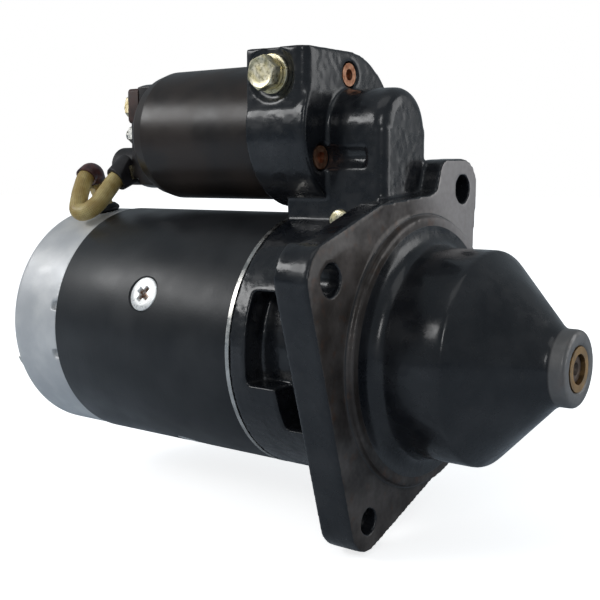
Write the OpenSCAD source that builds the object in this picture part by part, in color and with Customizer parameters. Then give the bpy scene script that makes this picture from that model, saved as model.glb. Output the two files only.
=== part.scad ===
/* [Yoke and rear cover] */
// Outside diameter of the tubular motor frame
yoke_d = 115; // [95:1:140]
// Wall of the motor frame
yoke_wall = 7; // [5:0.5:9]
// Length of the motor frame
yoke_l = 109.5; // [90:0.5:135]
// Length of the rear cover, from the frame to its closed end
cover_l = 34; // [28:0.5:42]
// Wall of the rear cover
cover_wall = 4; // [3:0.5:6]
// How far the rear cover's outside sits below the frame's
cover_step = 0.5; // [0.2:0.1:1.5]
// Corner radius at the closed end of the cover
cover_edge_r = 4; // [1:0.5:6]

/* [Drive housing] */
// Distance from the flange's front face back to the motor frame's plate
housing_l = 59.5; // [48:0.5:72]
// Thickness of the mounting flange
flange_t = 11; // [8:0.5:14]
// Thickness of the deep rib along the flange's near edge
rim_t = 16; // [12:0.5:20]
// Radius of the flange's round middle
flange_r = 59; // [58:0.5:64]
// Diameter of the locating ring on the flange's face
pilot_d = 115; // [100:1:118]
// Height of the locating ring
pilot_h = 3; // [2:0.5:5]
// Outside diameter of the cylindrical snout
snout_d = 89; // [84:1:96]
// Length of the cylindrical part of the snout
snout_l = 33; // [28:1:40]
// Wall of the snout
snout_wall = 6.5; // [5:0.5:8]
// Distance from the flange's face to the end of the nose
nose_x = 70; // [66:1:84]
// Outside diameter of the nose boss
nose_d = 31; // [28:1:36]
// Diameter of the circle that the flange holes lie on
bolt_circle_d = 152; // [146:1:170]
// Diameter of the two upper flange holes
hole_d = 12.5; // [10:0.1:14]
// Diameter of the lower flange hole
low_hole_d = 10.5; // [8:0.1:12.5]
// Angle of the near upper hole, seen from the nose
hole_a_deg = 152; // [145:1:160]
// Angle of the far upper hole
hole_b_deg = 64; // [58:1:70]
// Angle of the lower hole
hole_c_deg = 238; // [232:1:244]

/* [Solenoid] */
// Space between the solenoid's case and the motor frame
solenoid_gap = 5.75; // [4:0.25:16]
// Outside diameter of the solenoid case
solenoid_d = 61.5; // [54:0.5:64]
// Length of the solenoid case ahead of its rolled shoulder
solenoid_l = 90; // [80:1:110]
// How far the moulded cap sits in from the solenoid's case, all round
cap_step = 4.75; // [3:0.25:8]
// Thread diameter of the two main terminal studs
stud_d = 8; // [6:1:10]
// Distance of each main stud from the solenoid's axis
stud_offset = 15; // [14:0.5:16]
// Thread diameter of the control stud
control_d = 6; // [4:1:6]

/* [Motor insides] */
// Diameter of the armature's iron core
core_d = 66.8; // [60:0.2:68]
// Length of the armature's iron core
core_l = 72; // [55:1:85]
// Air gap between the core and the pole shoes
air_gap = 0.6; // [0.4:0.1:1]
// Diameter of the commutator's running surface
commutator_d = 39; // [34:1:42]
// Diameter of the shaft inside the core
shaft_d = 18; // [17.5:0.5:20]
// Diameter of the shaft's journal in the centre plate
centre_journal_d = 20; // [19:0.5:22]
// Diameter of the shaft that the drive slides on
drive_shaft_d = 17; // [15:0.5:17]
// Diameter of the shaft's journals at the nose and at the rear
end_journal_d = 12; // [10:0.5:13]
// Width of each brush along the shaft
brush_w = 12; // [8:0.5:13]
// Thickness of each brush around the commutator
brush_t = 9; // [6:0.5:10]

/* [Drive] */
// Number of pinion teeth
pinion_teeth = 10; // [9:1:11]
// Tooth module of the pinion
pinion_module = 3; // [2.5:0.25:3]
// Width of the pinion's teeth
pinion_w = 22; // [16:1:24]
// Forward travel of the drive
drive_travel = 20; // [14:1:21]
// Outside diameter of the overrunning clutch
clutch_d = 52; // [50:1:58]
// Running clearance between shafts and what they turn or slide in
running = 0.06; // [0.03:0.01:0.1]
// Clearance of pieces that are only fitted together
fit = 0.1; // [0.05:0.05:0.2]

/* [Hidden] */
$fn = 64;
eps = 1;

// Stations along the shaft: the flange's front face is at 0, the nose is ahead of it
yoke_r = yoke_d / 2;
yoke_in = yoke_r - yoke_wall;
rim_w = 2;
x_housing = -housing_l;
x_yoke1 = x_housing - rim_w;
x_yoke0 = x_yoke1 - yoke_l;
x_cover = x_yoke0 - cover_l;
x_poles = x_yoke1 - yoke_l / 2 + 2;
x_core0 = x_poles - core_l / 2;
x_core1 = x_poles + core_l / 2;

// Poles stand at 158 degrees and every quarter turn from there
pole_deg = 158;
bolt_deg = pole_deg + 45;
bolt_r = yoke_in - 3.5;
bolt_d = 6;
pole_screw_d = 8;
pole_screw_head_d = 16;
pole_face_r = core_d / 2 + air_gap;
screw_bite = (yoke_in - pole_face_r) / 1.65;

// Cavities of the drive housing
register_r = bolt_r - bolt_d / 2 - 2;
cavity_r = snout_d / 2 - snout_wall;
ring_l = 8.5;
pocket_floor = cavity_r + 8;

// Mounting holes and the lugs round them, as points across the flange
hole_r = bolt_circle_d / 2;
lug_a = [hole_r * cos(hole_a_deg), hole_r * sin(hole_a_deg)];
lug_b = [hole_r * cos(hole_b_deg), hole_r * sin(hole_b_deg)];
lug_c = [hole_r * cos(hole_c_deg), hole_r * sin(hole_c_deg)];
lug_a_r = 15;
lug_b_r = 13.5;
lug_c_r = 12.5;

// Solenoid seat and the neck that joins it to the housing
solenoid_r = solenoid_d / 2;
solenoid_z = yoke_r + solenoid_gap + solenoid_r;
seat_x = -48;
seal_t = 0.8;
x_front = seat_x - seal_t;
plate_x = -38;
collar_wall = 3.2;
collar_r = solenoid_r + collar_wall;
collar_l = 22;
neck_r = 17.5;
neck_wall = 4.5;
neck_x = -9;
x_case0 = seat_x - solenoid_l;
shoulder_l = 9;
cap_r = solenoid_r - cap_step;
cap_l = 18;
x_cap = x_case0 - shoulder_l - cap_l;
screw_circle_r = solenoid_r - 6.75;
screw_degs = [90, 210, 330];
// The terminals: block under the battery nut, nuts with their washers, the lead's ring
block_t = 2;
ridge_w = 20;
ridge_step = 3;
cap_wall = 3;
nut_t = 6.5;
lug_t = 2;
thread_root = 0.6;
control_y = -1;
control_z = solenoid_z + 1;

// The side boss and its bolt
boss_y = -solenoid_r - 2.25;
boss_y1 = 3;
boss_top = solenoid_z + solenoid_r + 3.2;
ear_top = boss_top - 7.5;
side_x = -56;
side_z = boss_top - 11;
side_thread_d = 8;
side_flats = 13;
spotface_y = boss_y + 1.5;
side_end_y = -sqrt(pow(solenoid_r + fit, 2) - pow(side_z - side_thread_d / 2 - solenoid_z, 2)) - 1.4;

// Drive, at rest
sleeve_x = -50;
sleeve_wall = 3.4;
sleeve_r = drive_shaft_d / 2 + running + sleeve_wall;
sleeve_flange_r = 19;
groove_x = -41;
groove_w = 8;
clutch_x = -32;
clutch_l = 26;
clutch_wall = 6;
race_r = sleeve_r;
roller_r = (clutch_d / 2 - clutch_wall - race_r) / 2 - 0.12;
pinion_x = -2;
pitch_r = pinion_teeth * pinion_module / 2;
collar_x = pinion_x + pinion_w + drive_travel + 2;
journal_x = collar_x + 5;

// Lever: half the drive's travel on each side of upright
lever_z = 55;
lever_x = groove_x + drive_travel / 2;
lever_tilt = atan2(drive_travel / 2, lever_z);
lever_top = solenoid_z - lever_z;
tip_x = lever_x + lever_top * tan(lever_tilt);
plunger_travel = 2 * lever_top * tan(lever_tilt);
tip_r = 4;

// Solenoid's insides
plunger_r = 10;
core_gap = 0.5;
x_core_face = x_case0 + 38;
x_plunger0 = x_core_face + plunger_travel + core_gap;
disc_travel = 3.2;
rod_r = 3;
disc_t = 2.5;
disc_r = 17;
disc_w = 12;
x_disc = x_cap + 15.5;
x_contact = x_disc - disc_travel - 0.3;
rod_front = x_plunger0 + 12 - plunger_travel - 0.2 + disc_travel;

// Lead: from the motor stud's lug, down to a bend on the casing, up, and over to the grommet
lead_d = 9;
lead_points = [[-170, -11, 75.5], [-170.5, -13.5, 73.8], [-171, -16, 72.1], [-171.5, -19.5, 68.5],
               [-172, -23, 64.5], [-173, -26.5, 60.5], [-175, -29.5, 57.5], [-178.5, -31, 56],
               [-182, -31, 56.5], [-184.5, -29.5, 58.5], [-186.5, -27, 62], [-188.5, -24, 66],
               [-190, -21, 70], [-191, -18, 73.5], [-191.5, -15, 75.5], [-192, -12, 75],
               [-193, -10, 72.5], [-193, -9, 69.5], [-191.5, -9, 66.5], [-188.8, -10, 63.8],
               [-186.3, -10.8, 61.5], [-186, -10.2, 58], [-186, -9.2, 52]];
sleeve_from = 13;
sleeve_to = 17;
grommet_x = x_yoke0 - 15;
grommet_deg = 100;
lug_dir = unit(lead_points[1] - lead_points[0]);
lug_deg = atan2(lead_points[0][2] - solenoid_z + stud_offset, lead_points[0][1]);
boot_l = 16;

// Brush gear: one plate with four boxes, a brush and a spring in each
x_brush_plate = x_cover + 17;
brush_plate_t = 2.5;
brush_wall = 1.2;
box_gap = 0.25;
box_x0 = x_brush_plate + brush_plate_t + brush_wall;
x_brush = box_x0 + box_gap;
box_out = bolt_r - bolt_d / 2 - 1.5;
brush_out = box_out - 8;
box_in = commutator_d / 2 + 4;
box_w = brush_w + 2 * box_gap;
box_t = brush_t + 2 * box_gap;
brush_screw_r = box_out - 5.5;

// Armature slots
slots = 15;
slot_w = 3.4;
slot_r = core_d / 2 - 13;

function unit(v) = v / norm(v);
function arc(c, r, a0, a1, n = 12) =
    [for (i = [0:n]) c + r * [cos(a0 + (a1 - a0) * i / n), sin(a0 + (a1 - a0) * i / n)]];
// Direction, from 0 to 360, of the outward normal of a line that touches two circles on one side
function touch(c1, r1, c2, r2, side) =
    (atan2(c2[1] - c1[1], c2[0] - c1[0]) + side * acos((r1 - r2) / norm(c2 - c1)) + 720) % 360;

// A solid of revolution about the shaft, from points given as [x, radius]
module lathe(points, z = 0)
    translate([0, 0, z]) rotate([0, 90, 0]) rotate_extrude($fn = 96)
        polygon([for (p = points) [p[1], p[0]]]);

module rod(x0, x1, r, z = 0, y = 0)
    translate([x0, y, z]) rotate([0, 90, 0]) cylinder(h = x1 - x0, r = r);

module tube(x0, x1, r_out, r_in, z = 0, y = 0)
    difference() {
        rod(x0, x1, r_out, z, y);
        rod(x0 - eps, x1 + eps, r_in, z, y);
    }

// A plate whose outline is given across the shaft, as [y, z] points
module plate(x0, x1)
    translate([x0, 0, 0]) rotate([90, 0, 90]) linear_extrude(x1 - x0) children();

// The wedge between two angles round the shaft
module wedge(x0, x1, a0, a1, r)
    plate(x0, x1) polygon(concat([[0, 0]], [for (i = [0:4])
        let (a = a0 + (a1 - a0) * i / 4) r / cos((a1 - a0) / 8) * [cos(a), sin(a)]]));

module hex(x0, x1, flats, z = 0, y = 0)
    translate([x0, y, z]) rotate([0, 90, 0]) cylinder(h = x1 - x0, r = flats / 2 / cos(30), $fn = 6);

// Puts its children, made along +X from 0, on the given radius direction
module radial(x, deg)
    translate([x, 0, 0]) rotate([deg, 0, 0]) rotate([0, 0, 90]) children();

// One ring of a tube round point i of a list of points
function ring(points, i, r, sides) =
    let (t = unit(points[min(i + 1, len(points) - 1)] - points[max(i - 1, 0)]),
         s = unit(cross(t, abs(t[1]) < 0.9 ? [0, 1, 0] : [1, 0, 0])),
         u = cross(s, t))
    [for (k = [0:sides - 1]) points[i] + r * (cos(360 * k / sides) * s + sin(360 * k / sides) * u)];

// The walls between rings a and b of a tube, whose rings start at the point numbered from
function walls(a, b, from, sides) =
    [for (i = [a:b - 1], k = [0:sides - 1])
        let (p = from + (i - a) * sides + k, q = from + (i - a) * sides + (k + 1) % sides)
            each [[p, p + sides, q + sides], [p, q + sides, q]]];

// A round wire or cord along a list of points
module sweep(points, r, sides = 10) {
    last = (len(points) - 1) * sides;
    polyhedron([for (i = [0:len(points) - 1]) each ring(points, i, r, sides)],
        concat(walls(0, len(points) - 1, 0, sides), [for (k = [1:sides - 2]) [0, k, k + 1]],
            [for (k = [1:sides - 2]) [last, last + k + 1, last + k]]), convexity = 6);
}

// A hollow tube over the stretch of the same points from number a to number b
module hose(points, a, b, r_out, r_in, sides = 10) {
    m = (b - a + 1) * sides;
    e = m - sides;
    polyhedron(concat([for (i = [a:b]) each ring(points, i, r_out, sides)],
            [for (i = [a:b]) each ring(points, i, r_in, sides)]),
        concat(walls(a, b, 0, sides), [for (w = walls(a, b, m, sides)) [w[2], w[1], w[0]]],
            [for (k = [0:sides - 1]) let (j = (k + 1) % sides) each [[k, j, m + j], [k, m + j, m + k]]],
            [for (k = [0:sides - 1]) let (j = (k + 1) % sides)
                each [[e + j, e + k, m + e + k], [e + j, m + e + k, m + e + j]]]), convexity = 6);
}

// A coil spring along +X from 0, closed enough at its ends to stand square
module coil(length, r, wire_r, turns)
    sweep([for (i = [0:turns * 12])
        [wire_r + (length - 2 * wire_r) * i / (turns * 12), r * cos(30 * i), r * sin(30 * i)]],
        wire_r, 6);

flange_outline = concat(
    arc([0, 0], flange_r, touch([0, 0], flange_r, lug_c, lug_c_r, 1) - 360, 42, 24),
    arc(lug_b, lug_b_r, -8, 95, 10),
    arc([20, lug_b[1] + lug_b_r - 7.5], 7, 95, 165, 6),
    [[10.5, 68], [6, 66.5], [-34, 63]],
    arc(lug_a, lug_a_r, 112, touch(lug_a, lug_a_r, lug_c, lug_c_r, -1), 10),
    arc(lug_c, lug_c_r, touch(lug_a, lug_a_r, lug_c, lug_c_r, -1),
        touch([0, 0], flange_r, lug_c, lug_c_r, 1), 10));

module flange() {
    plate(-flange_t, 0) polygon(flange_outline);
    plate(-rim_t, -flange_t + eps) polygon(concat(
        arc(lug_a, lug_a_r, 112, touch(lug_a, lug_a_r, lug_c, lug_c_r, -1), 10),
        arc(lug_c, lug_c_r, touch(lug_a, lug_a_r, lug_c, lug_c_r, -1), 400, 20),
        [lug_a + [lug_a_r - 2, -6], lug_a + [4, lug_a_r - 2]]));
}

module housing_outside() {
    root = snout_d / 2;
    fillet = 6;
    lathe(concat([[x_housing, 0], [x_housing, yoke_r], [-1, yoke_r], [-1, pilot_d / 2],
            [pilot_h, pilot_d / 2], [pilot_h, root + fillet]],
        [for (i = [0:6]) [pilot_h + fillet - fillet * cos(15 * i), root + fillet - fillet * sin(15 * i)]],
        [[snout_l, root], [nose_x - 10, nose_d / 2 + 2], [nose_x - 7, nose_d / 2],
            [nose_x - 1, nose_d / 2], [nose_x, nose_d / 2 - 1], [nose_x, 0]]));
    flange();
}

// Neck, solenoid seat, side boss and far ear
module seat_outside() {
    top = boss_top;
    plate(x_housing, neck_x - 5) polygon([[-neck_r, 30], [neck_r, 30], [neck_r, solenoid_z], [-neck_r, solenoid_z]]);
    translate([0, 0, 40]) linear_extrude(solenoid_z - 40)
        polygon(concat([[seat_x + 3, -neck_r], [neck_x - 5, -neck_r]],
            arc([neck_x - 4, 4 - neck_r], 4, -90, 0, 4),
            arc([neck_x - 4, neck_r - 4], 4, 0, 90, 4), [[seat_x + 3, neck_r]]));
    lathe(concat([[seat_x + 1, 0], [seat_x + 1, neck_r]],
        [for (i = [0:6]) [neck_x - 6 + 6 * sin(15 * i), neck_r - 6 + 6 * cos(15 * i)]],
        [[neck_x, 0]]), solenoid_z);
    rod(seat_x - collar_l, plate_x, collar_r, solenoid_z);
    translate([0, 0, solenoid_z + 4]) linear_extrude(top - solenoid_z - 4)
        polygon(concat([[seat_x - collar_l, boss_y], [side_x + 12, boss_y]],
            arc([plate_x - 6, boss_y + 6], 6, -60, 0, 4),
            [[plate_x, boss_y1], [seat_x - collar_l, boss_y1]]));
    plate(seat_x, plate_x) polygon([[boss_y1 - 1, solenoid_z],
        [boss_y1 - 1, top - 1], [boss_y1 + 4, ear_top], [22, ear_top], [28, ear_top - 5.5],
        [collar_r - 1, solenoid_z + 8], [collar_r - 1, solenoid_z]]);
}

// The space that the lever, the clutch and the pinion work in
module housing_inside() {
    lathe([[x_housing - eps, 0], [x_housing - eps, register_r], [x_housing + ring_l, register_r],
        [x_housing + ring_l + 4, cavity_r], [snout_l, cavity_r], [nose_x - 16, end_journal_d / 2 + 7],
        [nose_x - 16, 0]]);
    plate(x_housing + ring_l, neck_x - neck_wall) polygon([[-27, 0], [-27, 25], [-13, 50],
        [-neck_r + neck_wall, solenoid_z], [neck_r - neck_wall, solenoid_z], [13, 50], [27, 25], [27, 0]]);
    rod(seat_x - eps, neck_x - neck_wall, neck_r - neck_wall, solenoid_z);
}

module pocket(side)
    difference() {
        union() {
            plate(x_housing + ring_l, -rim_t) polygon([[side * 30, -12], [side * 80, -12], [side * 80, 27], [side * 30, 27]]);
            plate(x_housing + ring_l + 15, -rim_t) polygon([[side * 25, -30], [side * 80, -30], [side * 80, -10], [side * 25, -10]]);
        }
        rod(x_housing, 0, pocket_floor);
    }

module drive_housing()
    color("#1b1c1f") difference() {
        union() {
            housing_outside();
            seat_outside();
        }
        housing_inside();
        pocket(-1);
        pocket(1);
        // Window where the ring gear meets the pinion
        wedge(12, nose_x - 20, -68, 48, 90);
        // Seat and front hole of the solenoid
        rod(seat_x - collar_l - eps, seat_x, solenoid_r + fit, solenoid_z);
        for (a = screw_degs) {
            y = screw_circle_r * cos(a);
            z = solenoid_z + screw_circle_r * sin(a);
            rod(seat_x - eps, plate_x + eps, 3.3, z, y);
            rod(plate_x - 4.5, plate_x + 20, 5.6, z, y);
        }
        // Nose bore
        rod(nose_x - 17, nose_x + eps, end_journal_d / 2 + 3);
        // Mounting holes
        for (h = [[lug_a, hole_d], [lug_b, hole_d], [lug_c, low_hole_d]])
            rod(-rim_t - eps, eps, h[1] / 2, h[0][1], h[0][0]);
        // Lever pin
        translate([lever_x, 0, lever_z]) rotate([90, 0, 0]) cylinder(h = 4 * neck_r, r = 4, center = true);
        // Side bolt and its spotface
        translate([side_x, boss_y - eps, side_z]) rotate([-90, 0, 0])
            cylinder(h = side_end_y - boss_y + eps, r = side_thread_d / 2);
        translate([side_x, boss_y - 10, side_z]) rotate([-90, 0, 0])
            cylinder(h = spotface_y - boss_y + 10, r = 11.5);
        // Threads for the through bolts
        for (a = [bolt_deg, bolt_deg + 180])
            rod(x_housing - eps, x_housing + ring_l, bolt_d / 2, bolt_r * sin(a), bolt_r * cos(a));
    }

module centre_plate()
    color("#c9c7c0") difference() {
        lathe([[x_yoke1 - 6, centre_journal_d / 2 + 3], [x_yoke1 - 6, yoke_in - fit], [x_yoke1, yoke_in - fit],
            [x_yoke1, yoke_r + 0.1], [x_housing, yoke_r + 0.1], [x_housing, register_r - fit],
            [x_housing + 2, register_r - fit], [x_housing + 2, 17], [x_housing + 4, 16],
            [x_housing + 4, centre_journal_d / 2 + 3]]);
        for (a = [bolt_deg, bolt_deg + 180])
            rod(x_yoke1 - 7, x_housing + eps, bolt_d / 2 + fit, bolt_r * sin(a), bolt_r * cos(a));
    }

module centre_bush()
    color("#a6783c") tube(x_yoke1 - 5, x_housing + 4, centre_journal_d / 2 + 3, centre_journal_d / 2 + running);

module nose_bush()
    color("#a6783c") tube(nose_x - 14, nose_x, end_journal_d / 2 + 3, end_journal_d / 2 + running);

module rear_bush()
    color("#a6783c") tube(x_cover + cover_wall, x_cover + 15, end_journal_d / 2 + 3, end_journal_d / 2 + running);

module yoke()
    color("#17181b") difference() {
        tube(x_yoke0, x_yoke1, yoke_r, yoke_in);
        for (k = [0:3]) radial(x_poles, pole_deg + 90 * k) {
            rotate([0, 90, 0]) cylinder(h = yoke_r + 5, r = pole_screw_d / 2 + 0.25);
            translate([yoke_r - 5, 0, 0]) rotate([0, 90, 0])
                cylinder(h = 5.5, r1 = pole_screw_d / 2, r2 = pole_screw_head_d / 2 + 0.9);
        }
    }

module pole_shoes()
    color("#5b5e62") for (k = [0:3]) {
        a = pole_deg + 90 * k;
        difference() {
            intersection() {
                tube(x_core0, x_core1, yoke_in, pole_face_r);
                union() {
                    wedge(x_core0 - eps, x_core1 + eps, a - 17, a + 17, yoke_in + 5);
                    intersection() {
                        wedge(x_core0 - eps, x_core1 + eps, a - 34, a + 34, yoke_in + 5);
                        rod(x_core0 - 2, x_core1 + 2, pole_face_r + 4);
                    }
                }
            }
            radial(x_poles, a) translate([yoke_in - screw_bite - 1, 0, 0]) rotate([0, 90, 0])
                cylinder(h = 20, r = pole_screw_d / 2);
        }
    }

module pole_screws()
    color("#d9d6cc") for (k = [0:3]) radial(x_poles, pole_deg + 90 * k) difference() {
        union() {
            translate([yoke_in - screw_bite, 0, 0]) rotate([0, 90, 0])
                cylinder(h = screw_bite + yoke_wall - 2, r = pole_screw_d / 2);
            translate([yoke_r - 4.5, 0, 0]) rotate([0, 90, 0])
                cylinder(h = 4, r1 = pole_screw_d / 2, r2 = pole_screw_head_d / 2);
        }
        for (t = [0, 90]) translate([yoke_r - 2.5, 0, 0]) rotate([t, 0, 0])
            translate([0, -4.5, -1]) cube([5, 9, 2]);
    }

module field_coils()
    color("#8a4a2a") for (k = [0:3]) {
        a = pole_deg + 90 * k;
        difference() {
            intersection() {
                tube(x_core0 - 8, x_core1 + 7, yoke_in - 0.6, pole_face_r + 4.6);
                wedge(x_core0 - 9, x_core1 + 8, a - 36, a + 36, yoke_in + 5);
            }
            wedge(x_core0 - 0.5, x_core1 + 0.5, a - 18, a + 18, yoke_in + 8);
        }
    }

module rear_cover() {
    r = yoke_r - cover_step;
    color("#b9bcbf") difference() {
        union() {
            lathe(concat([[x_cover, 0]],
                [for (i = [0:6]) [x_cover + cover_edge_r * (1 - cos(15 * i)),
                    r - cover_edge_r * (1 - sin(15 * i))]],
                [[x_yoke0, r], [x_yoke0, yoke_in - fit], [x_yoke0 + 3, yoke_in - fit],
                    [x_yoke0 + 3, yoke_in - 2], [x_yoke0 - 1, r - cover_wall],
                    [x_cover + cover_wall, r - cover_wall - 1], [x_cover + cover_wall, end_journal_d / 2 + 8],
                    [x_cover + 15, end_journal_d / 2 + 7], [x_cover + 15, 0]]));
            for (k = [0:3])
                rod(x_cover + cover_wall - 1, x_brush_plate, 4.5, brush_screw_r * sin(bolt_deg + 90 * k), brush_screw_r * cos(bolt_deg + 90 * k));
        }
        rod(x_cover + cover_wall, x_cover + 16, end_journal_d / 2 + 3);
        for (a = [bolt_deg, bolt_deg + 180])
            rod(x_cover - eps, x_cover + 2 * cover_wall, bolt_d / 2 + fit, bolt_r * sin(a), bolt_r * cos(a));
        for (k = [0:3])
            rod(x_brush_plate - 9, x_brush_plate + eps, 2, brush_screw_r * sin(bolt_deg + 90 * k), brush_screw_r * cos(bolt_deg + 90 * k));
        for (a = [168, 192]) rotate([a, 0, 0]) translate([x_yoke0 - 4, r - 2.5, -2]) cube([4.5, 5, 4]);
        radial(grommet_x, grommet_deg) translate([yoke_in - 8, 0, 0]) rotate([0, 90, 0]) cylinder(h = 30, r = 6);
    }
}

module through_bolts()
    color("#b8b49c") for (a = [bolt_deg, bolt_deg + 180])
        rod(x_cover - 8, x_housing + ring_l - 1, bolt_d / 2, bolt_r * sin(a), bolt_r * cos(a));

module through_nuts()
    color("#c8c3a6") for (a = [bolt_deg, bolt_deg + 180]) difference() {
        union() {
            hex(x_cover - 6.2, x_cover - 1.2, 10, bolt_r * sin(a), bolt_r * cos(a));
            rod(x_cover - 1.2, x_cover, 6, bolt_r * sin(a), bolt_r * cos(a));
        }
        rod(x_cover - 9, x_cover + 2, bolt_d / 2, bolt_r * sin(a), bolt_r * cos(a));
    }

module brush_plate()
    color("#6b5a3a") difference() {
        union() {
            tube(x_brush_plate, x_brush_plate + brush_plate_t, box_out, box_in);
            for (k = [0:3]) rotate([pole_deg + 90 * k, 0, 0])
                translate([x_brush_plate + brush_plate_t - eps, box_in, -box_t / 2 - brush_wall])
                    cube([box_w + 2 * brush_wall + eps, box_out - box_in, box_t + 2 * brush_wall]);
        }
        for (k = [0:3]) rotate([pole_deg + 90 * k, 0, 0])
            translate([box_x0, 10, -box_t / 2]) cube([box_w, box_out - 10 - brush_wall, box_t]);
        for (k = [0:3])
            rod(x_brush_plate - eps, x_brush_plate + 4, 2.1, brush_screw_r * sin(bolt_deg + 90 * k), brush_screw_r * cos(bolt_deg + 90 * k));
    }

module brush_screws()
    color("#cfcab8") for (k = [0:3]) {
        z = brush_screw_r * sin(bolt_deg + 90 * k);
        y = brush_screw_r * cos(bolt_deg + 90 * k);
        rod(x_brush_plate - 8, x_brush_plate + 3, 2, z, y);
        rod(x_brush_plate + brush_plate_t, x_brush_plate + 5, 3.6, z, y);
    }

module brush(k)
    color("#3a3836") difference() {
        rotate([pole_deg + 90 * k, 0, 0])
            translate([x_brush, commutator_d / 2 - 2, -brush_t / 2]) cube([brush_w, brush_out - commutator_d / 2 + 2, brush_t]);
        rod(x_brush - eps, x_brush + brush_w + eps, commutator_d / 2 + 0.2);
    }

module brush_spring(k)
    color("#9a9b9e") radial(x_brush + brush_w / 2, pole_deg + 90 * k)
        translate([brush_out + 0.1, 0, 0]) coil(box_out - brush_wall - brush_out - 0.2, 2.8, 0.45, 4);

module lead_grommet()
    color("#1c1d1c") radial(grommet_x, grommet_deg) difference() {
        translate([yoke_r - cover_step - cover_wall - 3, 0, 0]) rotate([0, 90, 0]) union() {
            cylinder(h = cover_wall + 7, r = 6 - fit);
            translate([0, 0, cover_wall + 3.6]) cylinder(h = 3.4, r = 7.6);
        }
        rotate([0, 90, 0]) cylinder(h = 80, r = lead_d / 2 + 0.4);
    }

module solenoid_case()
    color("#2a211d") difference() {
        lathe([[x_front, 0], [x_front, solenoid_r - 1], [x_front - 1, solenoid_r], [x_case0, solenoid_r],
            [x_case0 - 3, solenoid_r - 0.8], [x_case0 - shoulder_l + 1, cap_r + 1.2],
            [x_case0 - shoulder_l, cap_r + 0.2], [x_case0 - shoulder_l, 0]], solenoid_z);
        rod(x_case0 - shoulder_l - eps, x_case0 - 1, cap_r - 0.8, solenoid_z);
        rod(x_case0 - 1.5, seat_x - 6, solenoid_r - 3, solenoid_z);
        rod(seat_x - 8, seat_x + eps, plunger_r + 0.3, solenoid_z);
        for (a = screw_degs)
            rod(seat_x - 5.5, seat_x + eps, 3, solenoid_z + screw_circle_r * sin(a), screw_circle_r * cos(a));
    }

module solenoid_bobbin()
    color("#d8c9a0") {
        tube(x_case0 + 4, seat_x - 6, plunger_r + 2, plunger_r + 0.5, solenoid_z);
        tube(x_case0 + 4, x_case0 + 6, solenoid_r - 3 - fit, plunger_r + 1, solenoid_z);
        tube(seat_x - 8, seat_x - 6, solenoid_r - 3 - fit, plunger_r + 1, solenoid_z);
    }

module solenoid_winding()
    color("#a4552b") tube(x_case0 + 6, seat_x - 8, solenoid_r - 5, plunger_r + 2, solenoid_z);

module solenoid_core()
    color("#7a7d80") difference() {
        union() {
            rod(x_case0 - 1, x_case0 + 4, solenoid_r - 3 - fit, solenoid_z);
            rod(x_case0, x_core_face, plunger_r + 0.4, solenoid_z);
        }
        rod(x_case0 - 2, x_core_face + eps, rod_r + running, solenoid_z);
        rod(x_core_face - 12, x_core_face + eps, rod_r + 3, solenoid_z);
    }

// An upright slab, w wide, over the solenoid's axis
module cap_slot(x0, x1, w)
    translate([x0, -w / 2, solenoid_z - solenoid_r]) cube([x1 - x0, w, 2 * solenoid_r]);

module solenoid_cap()
    color("#24201d") difference() {
        union() {
            rod(x_case0 - shoulder_l, x_case0 - 1.2, cap_r - 1, solenoid_z);
            intersection() {
                lathe([[x_case0 - shoulder_l + 1, 0], [x_case0 - shoulder_l + 1, cap_r - 1],
                    [x_case0 - shoulder_l, cap_r - 1], [x_case0 - shoulder_l - 0.1, cap_r], [x_cap + 5, cap_r],
                    [x_cap + 4, cap_r - ridge_step], [x_cap + 1, cap_r - ridge_step],
                    [x_cap, cap_r - ridge_step - 1], [x_cap, 0]], solenoid_z);
                cap_slot(x_cap - 1, x_case0, ridge_w);
            }
            translate([x_cap - block_t, -9, solenoid_z + stud_offset - 7.5]) cube([block_t + eps, 16, 15]);
            rod(x_cap - 3, x_cap + 1, 6, control_z, control_y);
        }
        rod(x_case0 - shoulder_l + cap_wall, x_case0, cap_r - 1 - cap_wall, solenoid_z);
        intersection() {
            rod(x_cap + 5, x_case0 - 2, cap_r - 1 - cap_wall, solenoid_z);
            cap_slot(x_cap + 4, x_case0 - 1, ridge_w - 2 * cap_wall);
        }
        for (z = [solenoid_z + stud_offset, solenoid_z - stud_offset])
            rod(x_cap - block_t - eps, x_cap + 6, stud_d / 2 - thread_root, z);
        rod(x_cap - block_t - eps, x_cap + 6, control_d / 2 - thread_root, control_z, control_y);
    }

module solenoid_seal()
    color("#101113") difference() {
        tube(seat_x - seal_t, seat_x, solenoid_r - 1.5, 16, solenoid_z);
        for (a = screw_degs)
            rod(seat_x - 2, seat_x + eps, 3.3, solenoid_z + screw_circle_r * sin(a), screw_circle_r * cos(a));
    }

module solenoid_screws()
    color("#a9683c") for (a = screw_degs) {
        y = screw_circle_r * cos(a);
        z = solenoid_z + screw_circle_r * sin(a);
        difference() {
            union() {
                rod(seat_x - 5, plate_x - 4, 3, z, y);
                rod(plate_x - 4.5, plate_x - 0.7, 5, z, y);
            }
            rod(plate_x - 2.9, plate_x, 2.5, z, y);
        }
    }

// A terminal stud: thread_root inside its nut and the cap, full size at its free end
module stud(z, nut_end, tail) {
    rod(nut_end - tail, nut_end, stud_d / 2, z);
    rod(nut_end - eps, x_contact - 2, stud_d / 2 - thread_root, z);
    rod(x_contact - 3, x_contact, stud_d / 2 + 2.5, z);
}

// A nut on its washer, whose seat is at x
module stud_nut(x, z)
    difference() {
        union() {
            hex(x - nut_t, x - 1.2, 13, z);
            rod(x - 1.2, x, 7.8, z);
        }
        rod(x - nut_t - eps, x + eps, stud_d / 2 - thread_root, z);
    }

module battery_stud()
    color("#c2a25a") stud(solenoid_z + stud_offset, x_cap - block_t - nut_t, 3.5);

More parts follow.
